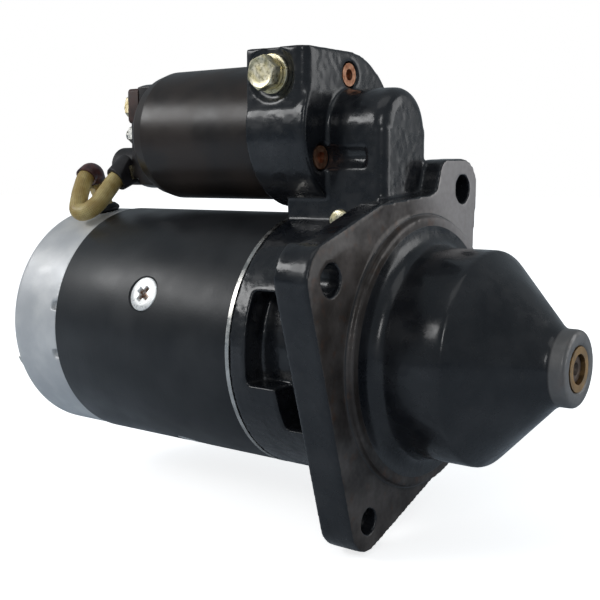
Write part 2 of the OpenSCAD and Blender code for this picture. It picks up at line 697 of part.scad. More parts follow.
module battery_nut()
    color("#d8c48a") stud_nut(x_cap - block_t, solenoid_z + stud_offset);

module motor_stud()
    color("#c2a25a") stud(solenoid_z - stud_offset, x_cap - lug_t - nut_t, 2.5);

module motor_nut()
    color("#d8c48a") stud_nut(x_cap - lug_t, solenoid_z - stud_offset);

module control_stud()
    color("#cfcab8") {
        rod(x_cap - 11, x_cap - 7, control_d / 2, control_z, control_y);
        rod(x_cap - 8, x_cap + 5, control_d / 2 - thread_root, control_z, control_y);
    }

module control_nut()
    color("#cfcab8") difference() {
        hex(x_cap - 7, x_cap - 3, 10, control_z, control_y);
        rod(x_cap - 9, x_cap, control_d / 2 - thread_root, control_z, control_y);
    }

module side_bolt()
    color("#d8cf9a") translate([side_x, spotface_y, side_z]) rotate([90, 0, 0]) {
        translate([0, 0, spotface_y - side_end_y])
            cylinder(h = side_end_y - spotface_y + 3.7, r = side_thread_d / 2);
        translate([0, 0, 3.6]) rotate([0, 0, 30]) cylinder(h = 5.3, r = side_flats / 2 / cos(30), $fn = 6);
    }

module side_washers()
    color("#bdb790") translate([side_x, spotface_y, side_z]) rotate([90, 0, 0]) {
        difference() {
            cylinder(h = 1.6, r = 8.5);
            translate([0, 0, -eps]) cylinder(h = 5, r = side_thread_d / 2 + 0.2);
        }
        translate([0, 0, 1.6]) difference() {
            cylinder(h = 2, r = 6.8);
            translate([0, 0, -eps]) cylinder(h = 5, r = side_thread_d / 2 + 0.2);
        }
    }

// Puts its children, made along +Z, at a point and along a direction
module toward(p, v)
    translate(p) rotate([0, acos(v[2] / norm(v)), atan2(v[1], v[0])]) children();

// The ring's tongue, which reaches the barrel that holds the lead
module lug_tongue(margin)
    translate([0, 0, solenoid_z - stud_offset]) rotate([lug_deg, 0, 0])
        translate([x_cap - lug_t - margin, 0, -3.5 - margin])
            cube([lug_t + 2 * margin, norm([lead_points[0][1], lead_points[0][2] - solenoid_z + stud_offset]) + margin,
                7 + 2 * margin]);

module lead_lug()
    color("#c9b27a") difference() {
        union() {
            rod(x_cap - lug_t, x_cap, 7.8, solenoid_z - stud_offset);
            lug_tongue(0);
            toward(lead_points[0] - 5 * lug_dir, lug_dir) cylinder(h = 5, r = 3.6);
        }
        rod(x_cap - 3, x_cap + eps, stud_d / 2 - thread_root, solenoid_z - stud_offset);
        rod(x_cap - 20, x_cap - lug_t, 7.9, solenoid_z - stud_offset);
        rod(x_cap, x_cap + 10, 20, solenoid_z - stud_offset);
    }

module lead_boot()
    color("#141313") difference() {
        union() {
            rod(x_cap - boot_l, x_cap, 9.6, solenoid_z - stud_offset);
            toward(lead_points[0] - 5 * lug_dir, lug_dir) cylinder(h = 11, r1 = 8, r2 = 6.4);
        }
        rod(x_cap - boot_l + 1.3, x_cap + eps, 8.2, solenoid_z - stud_offset);
        toward(lead_points[0] - 9 * lug_dir, lug_dir) cylinder(h = 20, r = lead_d / 2 + fit);
        lug_tongue(fit);
        rod(x_cap, x_cap + 10, 20, solenoid_z - stud_offset);
    }

module motor_lead()
    color("#d9c96a") sweep(lead_points, lead_d / 2);

module lead_sleeve()
    color("#4a2320") hose(lead_points, sleeve_from, sleeve_to, lead_d / 2 + 0.9, lead_d / 2 + fit);

module lever_pin()
    color("#b9b6aa") translate([lever_x, 0, lever_z]) rotate([90, 0, 0])
        cylinder(h = 2 * neck_r + 1, r = 4, center = true);

module armature_shaft()
    color("#a9abad") lathe([[x_cover + cover_wall + 0.5, 0], [x_cover + cover_wall + 0.5, end_journal_d / 2],
        [x_cover + 15.8, end_journal_d / 2], [x_cover + 15.8, shaft_d / 2], [x_yoke1 - 6, shaft_d / 2],
        [x_yoke1 - 6, centre_journal_d / 2], [x_housing + 4.5, centre_journal_d / 2],
        [x_housing + 4.5, drive_shaft_d / 2], [journal_x, drive_shaft_d / 2],
        [journal_x, end_journal_d / 2], [nose_x - 1.5, end_journal_d / 2], [nose_x - 1.5, 0]]);

module armature_core()
    color("#6a6c6f") difference() {
        tube(x_core0, x_core1, core_d / 2, shaft_d / 2);
        for (k = [0:slots - 1]) rotate([360 * k / slots, 0, 0]) {
            translate([x_core0 - eps, slot_r, -slot_w / 2]) cube([core_l + 2 * eps, 11.8, slot_w]);
            translate([x_core0 - eps, slot_r + 5, -0.8]) cube([core_l + 2 * eps, 20, 1.6]);
        }
    }

module armature_winding()
    color("#a8562c") {
        tube(x_core0 - 11.5, x_core0 - 0.5, core_d / 2 - 3.5, shaft_d / 2 + 1);
        tube(x_core1 + 0.5, x_core1 + 8, core_d / 2 - 3.5, shaft_d / 2 + 1);
        for (k = [0:slots - 1]) rotate([360 * k / slots, 0, 0])
            translate([x_core0 - 2, slot_r + 0.2, -slot_w / 2 + 0.15]) cube([core_l + 4, 9.2, slot_w - 0.3]);
    }

module commutator() {
    x0 = x_brush - 3;
    x1 = x_brush + brush_w + 4.5;
    color("#b06a3c") lathe([[x0, shaft_d / 2], [x0, commutator_d / 2], [x1, commutator_d / 2],
        [x1, commutator_d / 2 + 3], [x1 + 3.5, commutator_d / 2 + 3], [x1 + 3.5, shaft_d / 2]]);
}

module stop_collar()
    color("#8f9193") tube(collar_x, collar_x + 4, drive_shaft_d / 2 + 4, drive_shaft_d / 2);

module drive_sleeve()
    color("#8b8d90") difference() {
        union() {
            rod(sleeve_x, clutch_x + clutch_wall, sleeve_r);
            for (x = [groove_x - groove_w / 2 - 3, groove_x + groove_w / 2]) rod(x, x + 3, sleeve_flange_r);
        }
        rod(sleeve_x - eps, clutch_x + clutch_wall + eps, drive_shaft_d / 2 + running);
    }

module clutch_shell()
    color("#77797c") difference() {
        rod(clutch_x, clutch_x + clutch_l, clutch_d / 2);
        rod(clutch_x - eps, clutch_x + clutch_wall + eps, sleeve_r);
        rod(clutch_x + clutch_wall, clutch_x + clutch_l - 2, clutch_d / 2 - clutch_wall);
        rod(clutch_x + clutch_l - 3, clutch_x + clutch_l + eps, race_r + 2.6);
    }

module clutch_rollers()
    color("#c3c5c7") for (k = [0:4])
        rod(clutch_x + clutch_wall + 1, clutch_x + clutch_l - 3.5, roller_r,
            (race_r + 0.12 + roller_r) * sin(72 * k), (race_r + 0.12 + roller_r) * cos(72 * k));

function tooth(k) = let (a = 360 * k / pinion_teeth, m = pinion_module, w = 180 / pinion_teeth)
    [for (q = [[-1.35 * m, -0.82], [-0.6 * m, -0.66], [0, -0.5], [0.55 * m, -0.33], [0.95 * m, -0.19],
               [0.95 * m, 0.19], [0.55 * m, 0.33], [0, 0.5], [-0.6 * m, 0.66], [-1.35 * m, 0.82]])
        (pitch_r + q[0]) * [cos(a + q[1] * w), sin(a + q[1] * w)]];

module pinion()
    color("#84868a") difference() {
        union() {
            rod(clutch_x + clutch_wall + 0.5, clutch_x + clutch_l - 2.5, race_r - 0.02);
            rod(clutch_x + clutch_l - 3, pinion_x - 1, race_r + 2);
            rod(pinion_x - 2, pinion_x, pitch_r - 1.35 * pinion_module);
            plate(pinion_x, pinion_x + pinion_w) polygon([for (k = [0:pinion_teeth - 1]) each tooth(k)]);
        }
        rod(clutch_x, pinion_x + pinion_w + eps, drive_shaft_d / 2 + running);
    }

module shift_lever() {
    low = lever_z / cos(lever_tilt);
    high = lever_top / cos(lever_tilt);
    color("#55585b") translate([lever_x, 0, lever_z]) rotate([0, lever_tilt, 0]) difference() {
        union() {
            plate(-3, 3) polygon([[-24, -low - 5], [-20, -low - 5], [-20, 21 - low], [-10, 31 - low],
                [10, 31 - low], [20, 21 - low], [20, -low - 5], [24, -low - 5], [24, 23 - low],
                [11, -12], [10, 0], [4.8, 10], [-4.8, 10], [-10, 0], [-11, -12], [-24, 23 - low]]);
            plate(-2.5, 2.5) polygon([[-4.8, 5], [4.8, 5], [4.8, high - 2], [-4.8, high - 2]]);
            rotate([90, 0, 0]) cylinder(h = 21, r = 7.5, center = true);
            translate([0, 0, high]) rotate([90, 0, 0]) cylinder(h = 9.6, r = tip_r, center = true);
            for (s = [-1, 1]) translate([0, s * (sleeve_r + 0.8), -low]) rotate([-90 * s, 0, 0])
                cylinder(h = 23.5 - sleeve_r, r = groove_w / 2 - 0.4);
        }
        rotate([90, 0, 0]) cylinder(h = 30, r = 4 + running, center = true);
    }
}

module plunger()
    color("#9fa1a3") difference() {
        union() {
            rod(x_plunger0, tip_x - tip_r - 5, plunger_r, solenoid_z);
            rod(tip_x - tip_r - 6, tip_x + tip_r + 3.6, plunger_r - 1, solenoid_z);
        }
        rod(x_plunger0 - eps, x_plunger0 + 12, 6, solenoid_z);
        translate([tip_x - tip_r - 0.6, -5.6, solenoid_z - 20]) cube([2 * tip_r + 1.2, 11.2, 26]);
    }

module return_spring()
    color("#b4b6b8") translate([x_core_face - 11.9, 0, solenoid_z])
        coil(x_plunger0 + 11.9 - x_core_face + 11.9, 4.9, 0.7, 8);

module contact_rod()
    color("#b9bbbd") {
        rod(x_disc - 4, rod_front, rod_r, solenoid_z);
        rod(x_disc - 2, x_disc, rod_r + 2, solenoid_z);
    }

module contact_disc()
    color("#b8713f") intersection() {
        tube(x_disc, x_disc + disc_t, disc_r, rod_r, solenoid_z);
        cap_slot(x_disc - 1, x_disc + disc_t + 1, disc_w);
    }

module contact_spring()
    color("#b4b6b8") translate([x_disc + disc_t + 0.1, 0, solenoid_z])
        coil(x_case0 - 1 - x_disc - disc_t - 0.2, 4.6, 0.5, 4);

drive_housing();
centre_plate();
centre_bush();
nose_bush();
yoke();
pole_shoes();
pole_screws();
field_coils();
rear_cover();
rear_bush();
through_bolts();
through_nuts();
brush_plate();
brush_screws();
brush(0);  // brush_1
brush(1);  // brush_2
brush(2);  // brush_3
brush(3);  // brush_4
brush_spring(0);  // brush_spring_1
brush_spring(1);  // brush_spring_2
brush_spring(2);  // brush_spring_3
brush_spring(3);  // brush_spring_4
lead_grommet();
solenoid_case();
solenoid_bobbin();
solenoid_winding();
solenoid_core();
solenoid_cap();
solenoid_seal();
solenoid_screws();
battery_stud();
battery_nut();
motor_stud();
motor_nut();
control_stud();
control_nut();
side_bolt();
side_washers();
lead_lug();
lead_boot();
motor_lead();
lead_sleeve();
lever_pin();
armature_shaft();
armature_core();
armature_winding();
commutator();
stop_collar();
drive_sleeve();
clutch_shell();
clutch_rollers();
pinion();
shift_lever();
plunger();
return_spring();
contact_rod();
contact_disc();
contact_spring();
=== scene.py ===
"""Looks for the starter motor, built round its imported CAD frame.

Lengths are in millimetres in this script and become metres where a mesh is made.
The frame: +X along the shaft towards the nose, +Z up through the solenoid, -Y is the near side.
"""
import math

import bmesh
import bpy
from mathutils import Matrix, Vector, noise


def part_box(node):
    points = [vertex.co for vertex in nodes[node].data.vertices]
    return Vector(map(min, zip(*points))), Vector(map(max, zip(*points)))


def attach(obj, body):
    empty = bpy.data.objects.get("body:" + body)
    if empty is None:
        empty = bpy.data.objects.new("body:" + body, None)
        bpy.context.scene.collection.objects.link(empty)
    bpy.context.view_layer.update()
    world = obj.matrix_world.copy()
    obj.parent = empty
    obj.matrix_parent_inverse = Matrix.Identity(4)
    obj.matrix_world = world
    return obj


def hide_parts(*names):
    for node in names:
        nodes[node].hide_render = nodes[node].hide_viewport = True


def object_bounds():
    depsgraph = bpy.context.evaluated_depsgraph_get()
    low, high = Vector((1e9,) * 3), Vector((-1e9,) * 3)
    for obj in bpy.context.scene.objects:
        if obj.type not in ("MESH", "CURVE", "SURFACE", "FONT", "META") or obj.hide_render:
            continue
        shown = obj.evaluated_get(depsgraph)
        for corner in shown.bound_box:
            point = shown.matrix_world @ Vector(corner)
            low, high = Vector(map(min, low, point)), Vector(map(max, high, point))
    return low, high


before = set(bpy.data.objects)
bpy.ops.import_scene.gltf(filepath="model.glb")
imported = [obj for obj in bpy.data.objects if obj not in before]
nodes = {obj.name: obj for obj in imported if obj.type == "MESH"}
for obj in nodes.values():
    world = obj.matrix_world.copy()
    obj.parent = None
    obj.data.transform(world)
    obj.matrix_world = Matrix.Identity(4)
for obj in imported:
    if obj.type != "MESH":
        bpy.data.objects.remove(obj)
cad_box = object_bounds()

MM = 0.001

# The camera fitted to the photograph: its place in metres, the way its back points, and its lens in mm
CAMERA_AT = (0.22007, -0.37533, 0.07491)
CAMERA_BACK = (0.60128, -0.78969, 0.12187)
CAMERA_LENS = 61.45

# Soft lamps: name, direction from the motor, distance, width and height in metres, and power in watts
LAMPS = [
    ("key", (-0.62, -0.58, 0.46), 0.9, (0.62, 0.22), 2.5),
    ("top", (0.15, -0.25, 1.0), 1.0, (0.9, 0.5), 0.75),
    ("right", (0.75, 0.62, 0.25), 1.1, (0.5, 0.8), 2.4),
    ("front", (0.55, -0.85, 0.45), 1.2, (0.25, 0.35), 1.4),
]
LAMP_TARGET = Vector((-0.06, 0, 0.02))

# The world is white where the camera sees it, and a dimmer blue-grey in reflections and as light
ROOM_COLOR = (0.80, 0.91, 1, 1)
ROOM_STRENGTH = 0.27
FLOOR_GAP = 0.002
FLOOR_HALF = 6.0


class Span:
    """A CAD node's box at rest, in millimetres."""

    def __init__(self, node):
        low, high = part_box(node)
        self.low = low / MM
        self.high = high / MM
        self.mid = (self.low + self.high) / 2
        self.size = self.high - self.low


# ---------------------------------------------------------------- camera, light and floor

def make_camera():
    back = Vector(CAMERA_BACK).normalized()
    right = Vector((0, 0, 1)).cross(back).normalized()
    up = back.cross(right)
    data = bpy.data.cameras.new("camera")
    data.sensor_width = 36
    data.lens = CAMERA_LENS
    data.clip_start = 0.01
    camera = bpy.data.objects.new("camera", data)
    turn = Matrix((right, up, back)).transposed()
    camera.matrix_world = Matrix.Translation(CAMERA_AT) @ turn.to_4x4()
    bpy.context.scene.collection.objects.link(camera)
    bpy.context.scene.camera = camera


def softbox(name, direction, distance, size, power):
    """A rectangular lamp that faces the motor's middle from a direction."""
    data = bpy.data.lights.new(name, "AREA")
    data.shape = "RECTANGLE"
    data.size, data.size_y = size
    data.energy = power
    lamp = bpy.data.objects.new(name, data)
    away = Vector(direction).normalized()
    turn = away.to_track_quat("Z", "Y").to_matrix().to_4x4()
    lamp.matrix_world = Matrix.Translation(LAMP_TARGET + away * distance) @ turn
    bpy.context.scene.collection.objects.link(lamp)


def make_studio():
    scene = bpy.context.scene
    scene.view_settings.view_transform = "Standard"
    world = bpy.data.worlds.new("studio")
    scene.world = world
    world.use_nodes = True
    tree = world.node_tree
    tree.nodes.clear()
    out = tree.nodes.new("ShaderNodeOutputWorld")
    seen = tree.nodes.new("ShaderNodeBackground")
    seen.inputs["Color"].default_value = (1, 1, 1, 1)
    seen.inputs["Strength"].default_value = 1.0
    room = tree.nodes.new("ShaderNodeBackground")
    room.inputs["Color"].default_value = ROOM_COLOR
    room.inputs["Strength"].default_value = ROOM_STRENGTH
    path = tree.nodes.new("ShaderNodeLightPath")
    mix = tree.nodes.new("ShaderNodeMixShader")
    tree.links.new(path.outputs["Is Camera Ray"], mix.inputs[0])
    tree.links.new(room.outputs[0], mix.inputs[1])
    tree.links.new(seen.outputs[0], mix.inputs[2])
    tree.links.new(mix.outputs[0], out.inputs["Surface"])

    for lamp in LAMPS:
        softbox(*lamp)

    floor_z = cad_box[0][2] - FLOOR_GAP
    mesh = bpy.data.meshes.new("floor")
    corners = [(FLOOR_HALF * x, FLOOR_HALF * y, floor_z) for x, y in ((-1, -1), (1, -1), (1, 1), (-1, 1))]
    mesh.from_pydata(corners, [], [(0, 1, 2, 3)])
    floor = bpy.data.objects.new("floor", mesh)
    bpy.context.scene.collection.objects.link(floor)
    look = Look("floor_white", (0.93, 0.93, 0.93), 0.9, spec=0.1)
    paper = look.mix(look.ramp(look.noise(0.004, 4), 0.35, 0.65), (0.92, 0.92, 0.92), (0.95, 0.95, 0.95))
    seen = look.add("ShaderNodeLightPath").outputs["Is Camera Ray"]
    look.color_by(look.mix(seen, (0.60, 0.66, 0.73), paper))
    look.shader.inputs["Emission Color"].default_value = (1, 1, 1, 1)
    parts = look.axes()
    away = look.math("SQRT", look.math("ADD", look.times(parts[0], parts[0]),
                                       look.times(parts[1], parts[1])))
    glow = look.ramp(away, 120, 480, 0.72, 1.0)
    look.join(look.times(seen, glow), look.shader.inputs["Emission Strength"])
    mesh.materials.append(look.done())


# ---------------------------------------------------------------- materials

class Look:
    """A Principled material that is put together from small procedural steps. Scales are per millimetre."""

    def __init__(self, name, color, rough, metal=0.0, coat=0.0, coat_rough=0.08, spec=0.5):
        self.material = bpy.data.materials.new(name)
        self.material.use_nodes = True
        self.tree = self.material.node_tree
        self.shader = self.tree.nodes["Principled BSDF"]
        self.shader.inputs["Base Color"].default_value = (*color, 1)
        self.shader.inputs["Roughness"].default_value = rough
        self.shader.inputs["Metallic"].default_value = metal
        self.shader.inputs["Coat Weight"].default_value = coat
        self.shader.inputs["Coat Roughness"].default_value = coat_rough
        self.shader.inputs["Specular IOR Level"].default_value = spec
        source = self.add("ShaderNodeTexCoord")
        scale = self.add("ShaderNodeMapping")
        scale.inputs["Scale"].default_value = (1000, 1000, 1000)
        self.join(source.outputs["Object"], scale.inputs["Vector"])
        self.place = scale.outputs["Vector"]
        self.height = None

    def add(self, kind, **settings):
        node = self.tree.nodes.new(kind)
        for key, value in settings.items():
            setattr(node, key, value)
        return node

    def join(self, a, b):
        self.tree.links.new(a, b)

    def set(self, socket, value):
        if isinstance(value, bpy.types.NodeSocket):
            self.join(value, socket)
        else:
            socket.default_value = value

    def math(self, operation, a, b=0.0, clamp=False):
        node = self.add("ShaderNodeMath", operation=operation, use_clamp=clamp)
        self.set(node.inputs[0], a)
        self.set(node.inputs[1], b)
        return node.outputs[0]

    def noise(self, scale, detail=3.0, stretch=(1, 1, 1), rough=0.5):
        shift = self.add("ShaderNodeMapping")
        shift.inputs["Scale"].default_value = stretch
        self.join(self.place, shift.inputs["Vector"])
        node = self.add("ShaderNodeTexNoise")
        node.inputs["Scale"].default_value = scale
        node.inputs["Detail"].default_value = detail
        node.inputs["Roughness"].default_value = rough
        self.join(shift.outputs["Vector"], node.inputs["Vector"])
        return node.outputs["Fac"]

    def times(self, a, b):
        return self.math("MULTIPLY", a, b)

    def color_by(self, value):
        self.join(value, self.shader.inputs["Base Color"])

    def ramp(self, value, low, high, to_low=0.0, to_high=1.0):
        node = self.add("ShaderNodeMapRange", interpolation_type="SMOOTHSTEP")
        for name, number in (("From Min", low), ("From Max", high), ("To Min", to_low), ("To Max", to_high)):
            node.inputs[name].default_value = number
        self.join(value, node.inputs["Value"])
        return node.outputs["Result"]

    def axes(self):
        node = self.add("ShaderNodeSeparateXYZ")
        self.join(self.place, node.inputs[0])
        return node.outputs

    def facing_x(self):
        """1 where the surface faces along the shaft, 0 across it."""
        geometry = self.add("ShaderNodeTexCoord")
        parts = self.add("ShaderNodeSeparateXYZ")
        self.join(geometry.outputs["Normal"], parts.inputs[0])
        return self.ramp(self.math("ABSOLUTE", parts.outputs[0]), 0.86, 0.97)

    def radius(self, y=0.0, z=0.0):
        parts = self.axes()
        a = self.math("SUBTRACT", parts[1], y)
        b = self.math("SUBTRACT", parts[2], z)
        return self.math("SQRT", self.math("ADD", self.math("MULTIPLY", a, a), self.math("MULTIPLY", b, b)))

    def angle(self, y=0.0, z=0.0):
        parts = self.axes()
        return self.math("ARCTAN2", self.math("SUBTRACT", parts[2], z), self.math("SUBTRACT", parts[1], y))

    def band(self, value, low, high, soft):
        rise = self.ramp(value, low - soft, low + soft)
        fall = self.ramp(value, high - soft, high + soft, 1.0, 0.0)
        return self.math("MULTIPLY", rise, fall)

    def mix(self, factor, a, b):
        node = self.add("ShaderNodeMix", data_type="RGBA")
        self.set(node.inputs[0], factor)
        self.set(node.inputs[6], a if isinstance(a, bpy.types.NodeSocket) else (*a, 1))
        self.set(node.inputs[7], b if isinstance(b, bpy.types.NodeSocket) else (*b, 1))
        return node.outputs[2]

    def color_noise(self, scale, low, high, edges=(0.35, 0.65), stretch=(1, 1, 1)):
        color = self.mix(self.ramp(self.noise(scale, 4, stretch), *edges), low, high)
        self.color_by(color)
        return color

    def rough_noise(self, scale, low, high, stretch=(1, 1, 1)):
        value = self.ramp(self.noise(scale, 3, stretch), 0.3, 0.7, low, high)
        self.join(value, self.shader.inputs["Roughness"])
        return value

    def raise_by(self, value, amount):
        """Adds value x amount, in millimetres, to the surface's bump height."""
        step = self.math("MULTIPLY", value, amount)
        self.height = step if self.height is None else self.math("ADD", self.height, step)

    def done(self):
        if self.height is not None:
            bump = self.add("ShaderNodeBump")
            bump.inputs["Strength"].default_value = 1.0
            bump.inputs["Distance"].default_value = MM
            self.join(self.height, bump.inputs["Height"])
            self.join(bump.outputs["Normal"], self.shader.inputs["Normal"])
        return self.material


def casting_enamel():
    """Glossy black enamel on a sand casting, with bare machined iron on the flange face and the nose."""
    look = Look("casting_enamel", (0.01, 0.011, 0.013), 0.25, coat=0.35, coat_rough=0.1, spec=0.4)
    paint = look.mix(look.ramp(look.noise(0.05, 4), 0.4, 0.7), (0.006, 0.007, 0.0095), (0.02, 0.0205, 0.023))
    dust = look.ramp(look.noise(0.35, 5), 0.58, 0.78)
    paint = look.mix(look.times(dust, 0.35), paint, (0.03, 0.028, 0.025))
    x = look.axes()[0]
    radius = look.radius()
    facing = look.facing_x()
    face = look.times(look.band(x, -0.5, 0.4, 0.1), facing)
    ring = look.times(look.band(x, 2.6, 3.4, 0.1), look.band(radius, 53.5, 57.7, 0.25))
    nose = look.ramp(x, 63.2, 64.4)
    edge = look.times(look.band(x, 0.2, 3.2, 0.2), look.band(radius, 56.9, 58.2, 0.2))
    bare = look.math("MAXIMUM", look.math("MAXIMUM", face, ring), look.math("MAXIMUM", nose, edge))
    iron = look.mix(look.ramp(look.noise(0.06, 5), 0.35, 0.7), (0.034, 0.026, 0.022), (0.105, 0.09, 0.082))
    iron = look.mix(look.times(look.ramp(look.noise(0.16, 6), 0.55, 0.75), 0.6), iron, (0.10, 0.045, 0.022))
    # Painted highlight: the bare iron turns lighter grey towards the top far side, where the light falls.
    corner = look.math("ADD", look.axes()[1], look.axes()[2])
    painted_light_top_far = look.times(look.ramp(corner, 45, 85), look.ramp(x, 20, 30, 1.0, 0.0))
    iron = look.mix(look.times(painted_light_top_far, 0.8), iron, (0.42, 0.39, 0.38))
    iron = look.mix(look.times(nose, 0.55), iron, (0.27, 0.265, 0.26))
    look.color_by(look.mix(bare, paint, iron))
    gloss = look.ramp(look.noise(0.12, 4), 0.3, 0.75, 0.17, 0.42)
    dull = look.ramp(look.noise(0.4, 4), 0.3, 0.7, 0.42, 0.62)
    look.join(look.mix(bare, gloss, dull), look.shader.inputs["Roughness"])
    look.join(look.times(bare, 0.55), look.shader.inputs["Metallic"])
    grain = look.math("SUBTRACT", 1.0, bare)
    snout = look.times(look.ramp(x, 4, 8), 0.6)
    grain = look.times(grain, look.math("SUBTRACT", 1.0, snout))
    look.raise_by(look.times(look.noise(0.35, 4), grain), 0.12)
    look.raise_by(look.times(look.noise(1.7, 3), grain), 0.02)
    turned = look.math("SINE", look.times(radius, 9.0))
    look.raise_by(look.times(turned, look.times(bare, facing)), 0.006)
    return look.done()


def yoke_enamel():
    look = Look("yoke_enamel", (0.02, 0.021, 0.023), 0.4, coat=0.1, coat_rough=0.3, spec=0.4)
    look.color_noise(0.03, (0.013, 0.014, 0.016), (0.026, 0.027, 0.029))
    look.rough_noise(0.05, 0.33, 0.45)
    look.raise_by(look.noise(0.9, 3), 0.03)
    look.raise_by(look.noise(0.25, 2, (3, 0.4, 0.4)), 0.03)
    return look.done()


def can_enamel():
    """Deep brown-black paint of the solenoid's can."""
    look = Look("can_enamel", (0.02, 0.012, 0.009), 0.36, coat=0.12, coat_rough=0.25, spec=0.4)
    look.color_noise(0.04, (0.011, 0.0075, 0.006), (0.028, 0.018, 0.013))
    look.rough_noise(0.08, 0.3, 0.42)
    look.raise_by(look.noise(0.7, 3), 0.025)
    return look.done()


def cover_silver():
    """Turned end cover under a thin grey-silver paint."""
    look = Look("cover_silver", (0.52, 0.525, 0.53), 0.4, metal=0.25)
    tint = look.mix(look.ramp(look.noise(0.045, 4), 0.35, 0.7), (0.60, 0.605, 0.615), (0.78, 0.775, 0.765))
    stain = look.ramp(look.noise(0.22, 6), 0.62, 0.8)
    look.color_by(look.mix(look.times(stain, 0.5), tint, (0.70, 0.70, 0.69)))
    look.rough_noise(0.1, 0.36, 0.5)
    x = look.axes()[0]
    look.raise_by(look.math("SINE", look.times(x, 13.0)), 0.004)
    look.raise_by(look.noise(0.8, 3), 0.03)
    return look.done()


def turned_steel(name="turned_steel", color=(0.62, 0.61, 0.58), rough=0.28, rings=10.0):
    """Bright turned steel: fine lathe rings with a little staining."""
    look = Look(name, color, rough, metal=1.0)
    dark = tuple(c * 0.72 for c in color)
    look.color_noise(0.15, dark, color)
    look.rough_noise(0.3, rough * 0.8, rough * 1.5)
    x = look.axes()[0]
    look.raise_by(look.math("SINE", look.times(x, rings)), 0.003)
    look.raise_by(look.math("SINE", look.times(look.radius(), rings)), 0.003)
    return look.done()


def plated(name, color, other, rough=0.3, grain=0.5):
    """Plated steel with the cloudy tint of a passivated finish."""
    look = Look(name, color, rough, metal=0.9)
    tint = look.mix(look.ramp(look.noise(grain, 4), 0.35, 0.65), color, other)
    dirt = look.ramp(look.noise(grain * 3, 5), 0.6, 0.8)
    dark = tuple(c * 0.35 for c in color)
    look.color_by(look.mix(look.times(dirt, 0.4), tint, dark))
    look.rough_noise(grain * 2, rough * 0.7, rough * 1.5)
    look.raise_by(look.noise(2.5, 3), 0.012)
    return look.done()


def screw_white():
    """The pole screws' bright plating, with brown dirt deep in the cross."""
    look = Look("screw_white", (0.86, 0.86, 0.84), 0.32, metal=0.35)
    depth = look.ramp(look.radius(), 55.9, 56.9, 1.0, 0.0)
    grime = look.times(depth, look.ramp(look.noise(1.2, 4), 0.2, 0.6))
    face = look.mix(look.ramp(look.noise(0.6, 4), 0.35, 0.7), (0.80, 0.80, 0.78), (0.93, 0.93, 0.91))
    look.color_by(look.mix(grime, face, (0.22, 0.10, 0.045)))
    look.rough_noise(0.9, 0.25, 0.42)
    look.raise_by(look.noise(2.0, 3), 0.01)
    return look.done()


def moulded(name, color, rough, grain=1.2, height=0.02, coat=0.0):
    """Moulded plastic or rubber: uneven gloss and a fine skin."""
    look = Look(name, color, rough, coat=coat)
    look.color_noise(grain * 0.15, tuple(c * 0.7 for c in color), tuple(c * 1.35 for c in color))
    look.rough_noise(grain * 0.3, rough * 0.85, min(1.0, rough * 1.2))
    look.raise_by(look.noise(grain, 4), height)
    return look.done()


def braid():
    """Varnished glass-fibre braid. UV runs in turns round the lead and in millimetres along it."""
    look = Look("braid", (0.62, 0.49, 0.20), 0.5, coat=0.25, coat_rough=0.3)
    uv = look.add("ShaderNodeUVMap")
    parts = look.add("ShaderNodeSeparateXYZ")
    look.join(uv.outputs[0], parts.inputs[0])
    strands = 2 * math.pi * 14
    along = 2 * math.pi / 1.3
    around = look.times(parts.outputs[0], strands)
    length = look.times(parts.outputs[1], along)
    left = look.math("SINE", look.math("ADD", around, length))
    right = look.math("SINE", look.math("SUBTRACT", around, length))
    weave = look.times(left, right)
    tone = look.mix(look.ramp(look.noise(0.12, 4), 0.35, 0.68), (0.40, 0.27, 0.075), (0.66, 0.53, 0.22))
    # Painted shade: the gaps between the strands are darkened towards a deep brown, as shade in the creases
    # of the weave.
    gap = look.ramp(weave, -0.9, -0.2, 0.55, 0.0)
    look.color_by(look.mix(gap, tone, (0.20, 0.13, 0.04)))
    look.rough_noise(0.4, 0.42, 0.65)
    look.raise_by(weave, 0.045)
    look.raise_by(look.noise(0.8, 3), 0.08)
    return look.done()


def sleeve_maroon():
    look = Look("sleeve_maroon", (0.10, 0.03, 0.028), 0.38, coat=0.3, coat_rough=0.2)
    look.color_noise(0.25, (0.055, 0.022, 0.022), (0.14, 0.05, 0.045))
    look.rough_noise(0.5, 0.3, 0.5)
    look.raise_by(look.noise(0.6, 3, (0.6, 1.6, 1.6)), 0.12)
    return look.done()


def laminated_iron():
    """Thin iron sheets, stacked along the shaft."""
    look = Look("laminated_iron", (0.30, 0.30, 0.31), 0.42, metal=0.9)
    x = look.axes()[0]
    sheets = look.math("SINE", look.times(x, 2 * math.pi / 0.65))
    look.color_by(look.mix(look.ramp(sheets, -1, -0.5, 1, 0), (0.33, 0.33, 0.34), (0.09, 0.075, 0.06)))
    look.rough_noise(0.3, 0.34, 0.55)
    look.raise_by(sheets, 0.02)
    return look.done()


def wound(name, color, pitch, rough=0.35):
    """Enamelled wire, laid turn beside turn."""
    look = Look(name, color, rough, metal=0.7, coat=0.5, coat_rough=0.15)
    x = look.axes()[0]
    turns = look.math("SINE", look.times(x, 2 * math.pi / pitch))
    # Painted shade: the grooves between the turns are darkened to a shaded copy of the wire's colour.
    dark = tuple(c * 0.3 for c in color)
    look.color_by(look.mix(look.ramp(turns, -1, -0.2, 1, 0), color, dark))
    look.rough_noise(0.4, rough * 0.8, rough * 1.4)
    look.raise_by(turns, 0.08)
    return look.done()


def taped(name, color):
    """Varnished cotton tape, wrapped round the field coils."""
    look = Look(name, color, 0.6, coat=0.25, coat_rough=0.35)
    x = look.axes()[0]
    wraps = look.math("FRACT", look.times(x, 1 / 9.0))
    look.color_noise(0.2, tuple(c * 0.6 for c in color), color)
    look.rough_noise(0.4, 0.45, 0.7)
    look.raise_by(look.ramp(wraps, 0.0, 0.08), 0.15)
    look.raise_by(look.noise(2.2, 2), 0.06)
    return look.done()


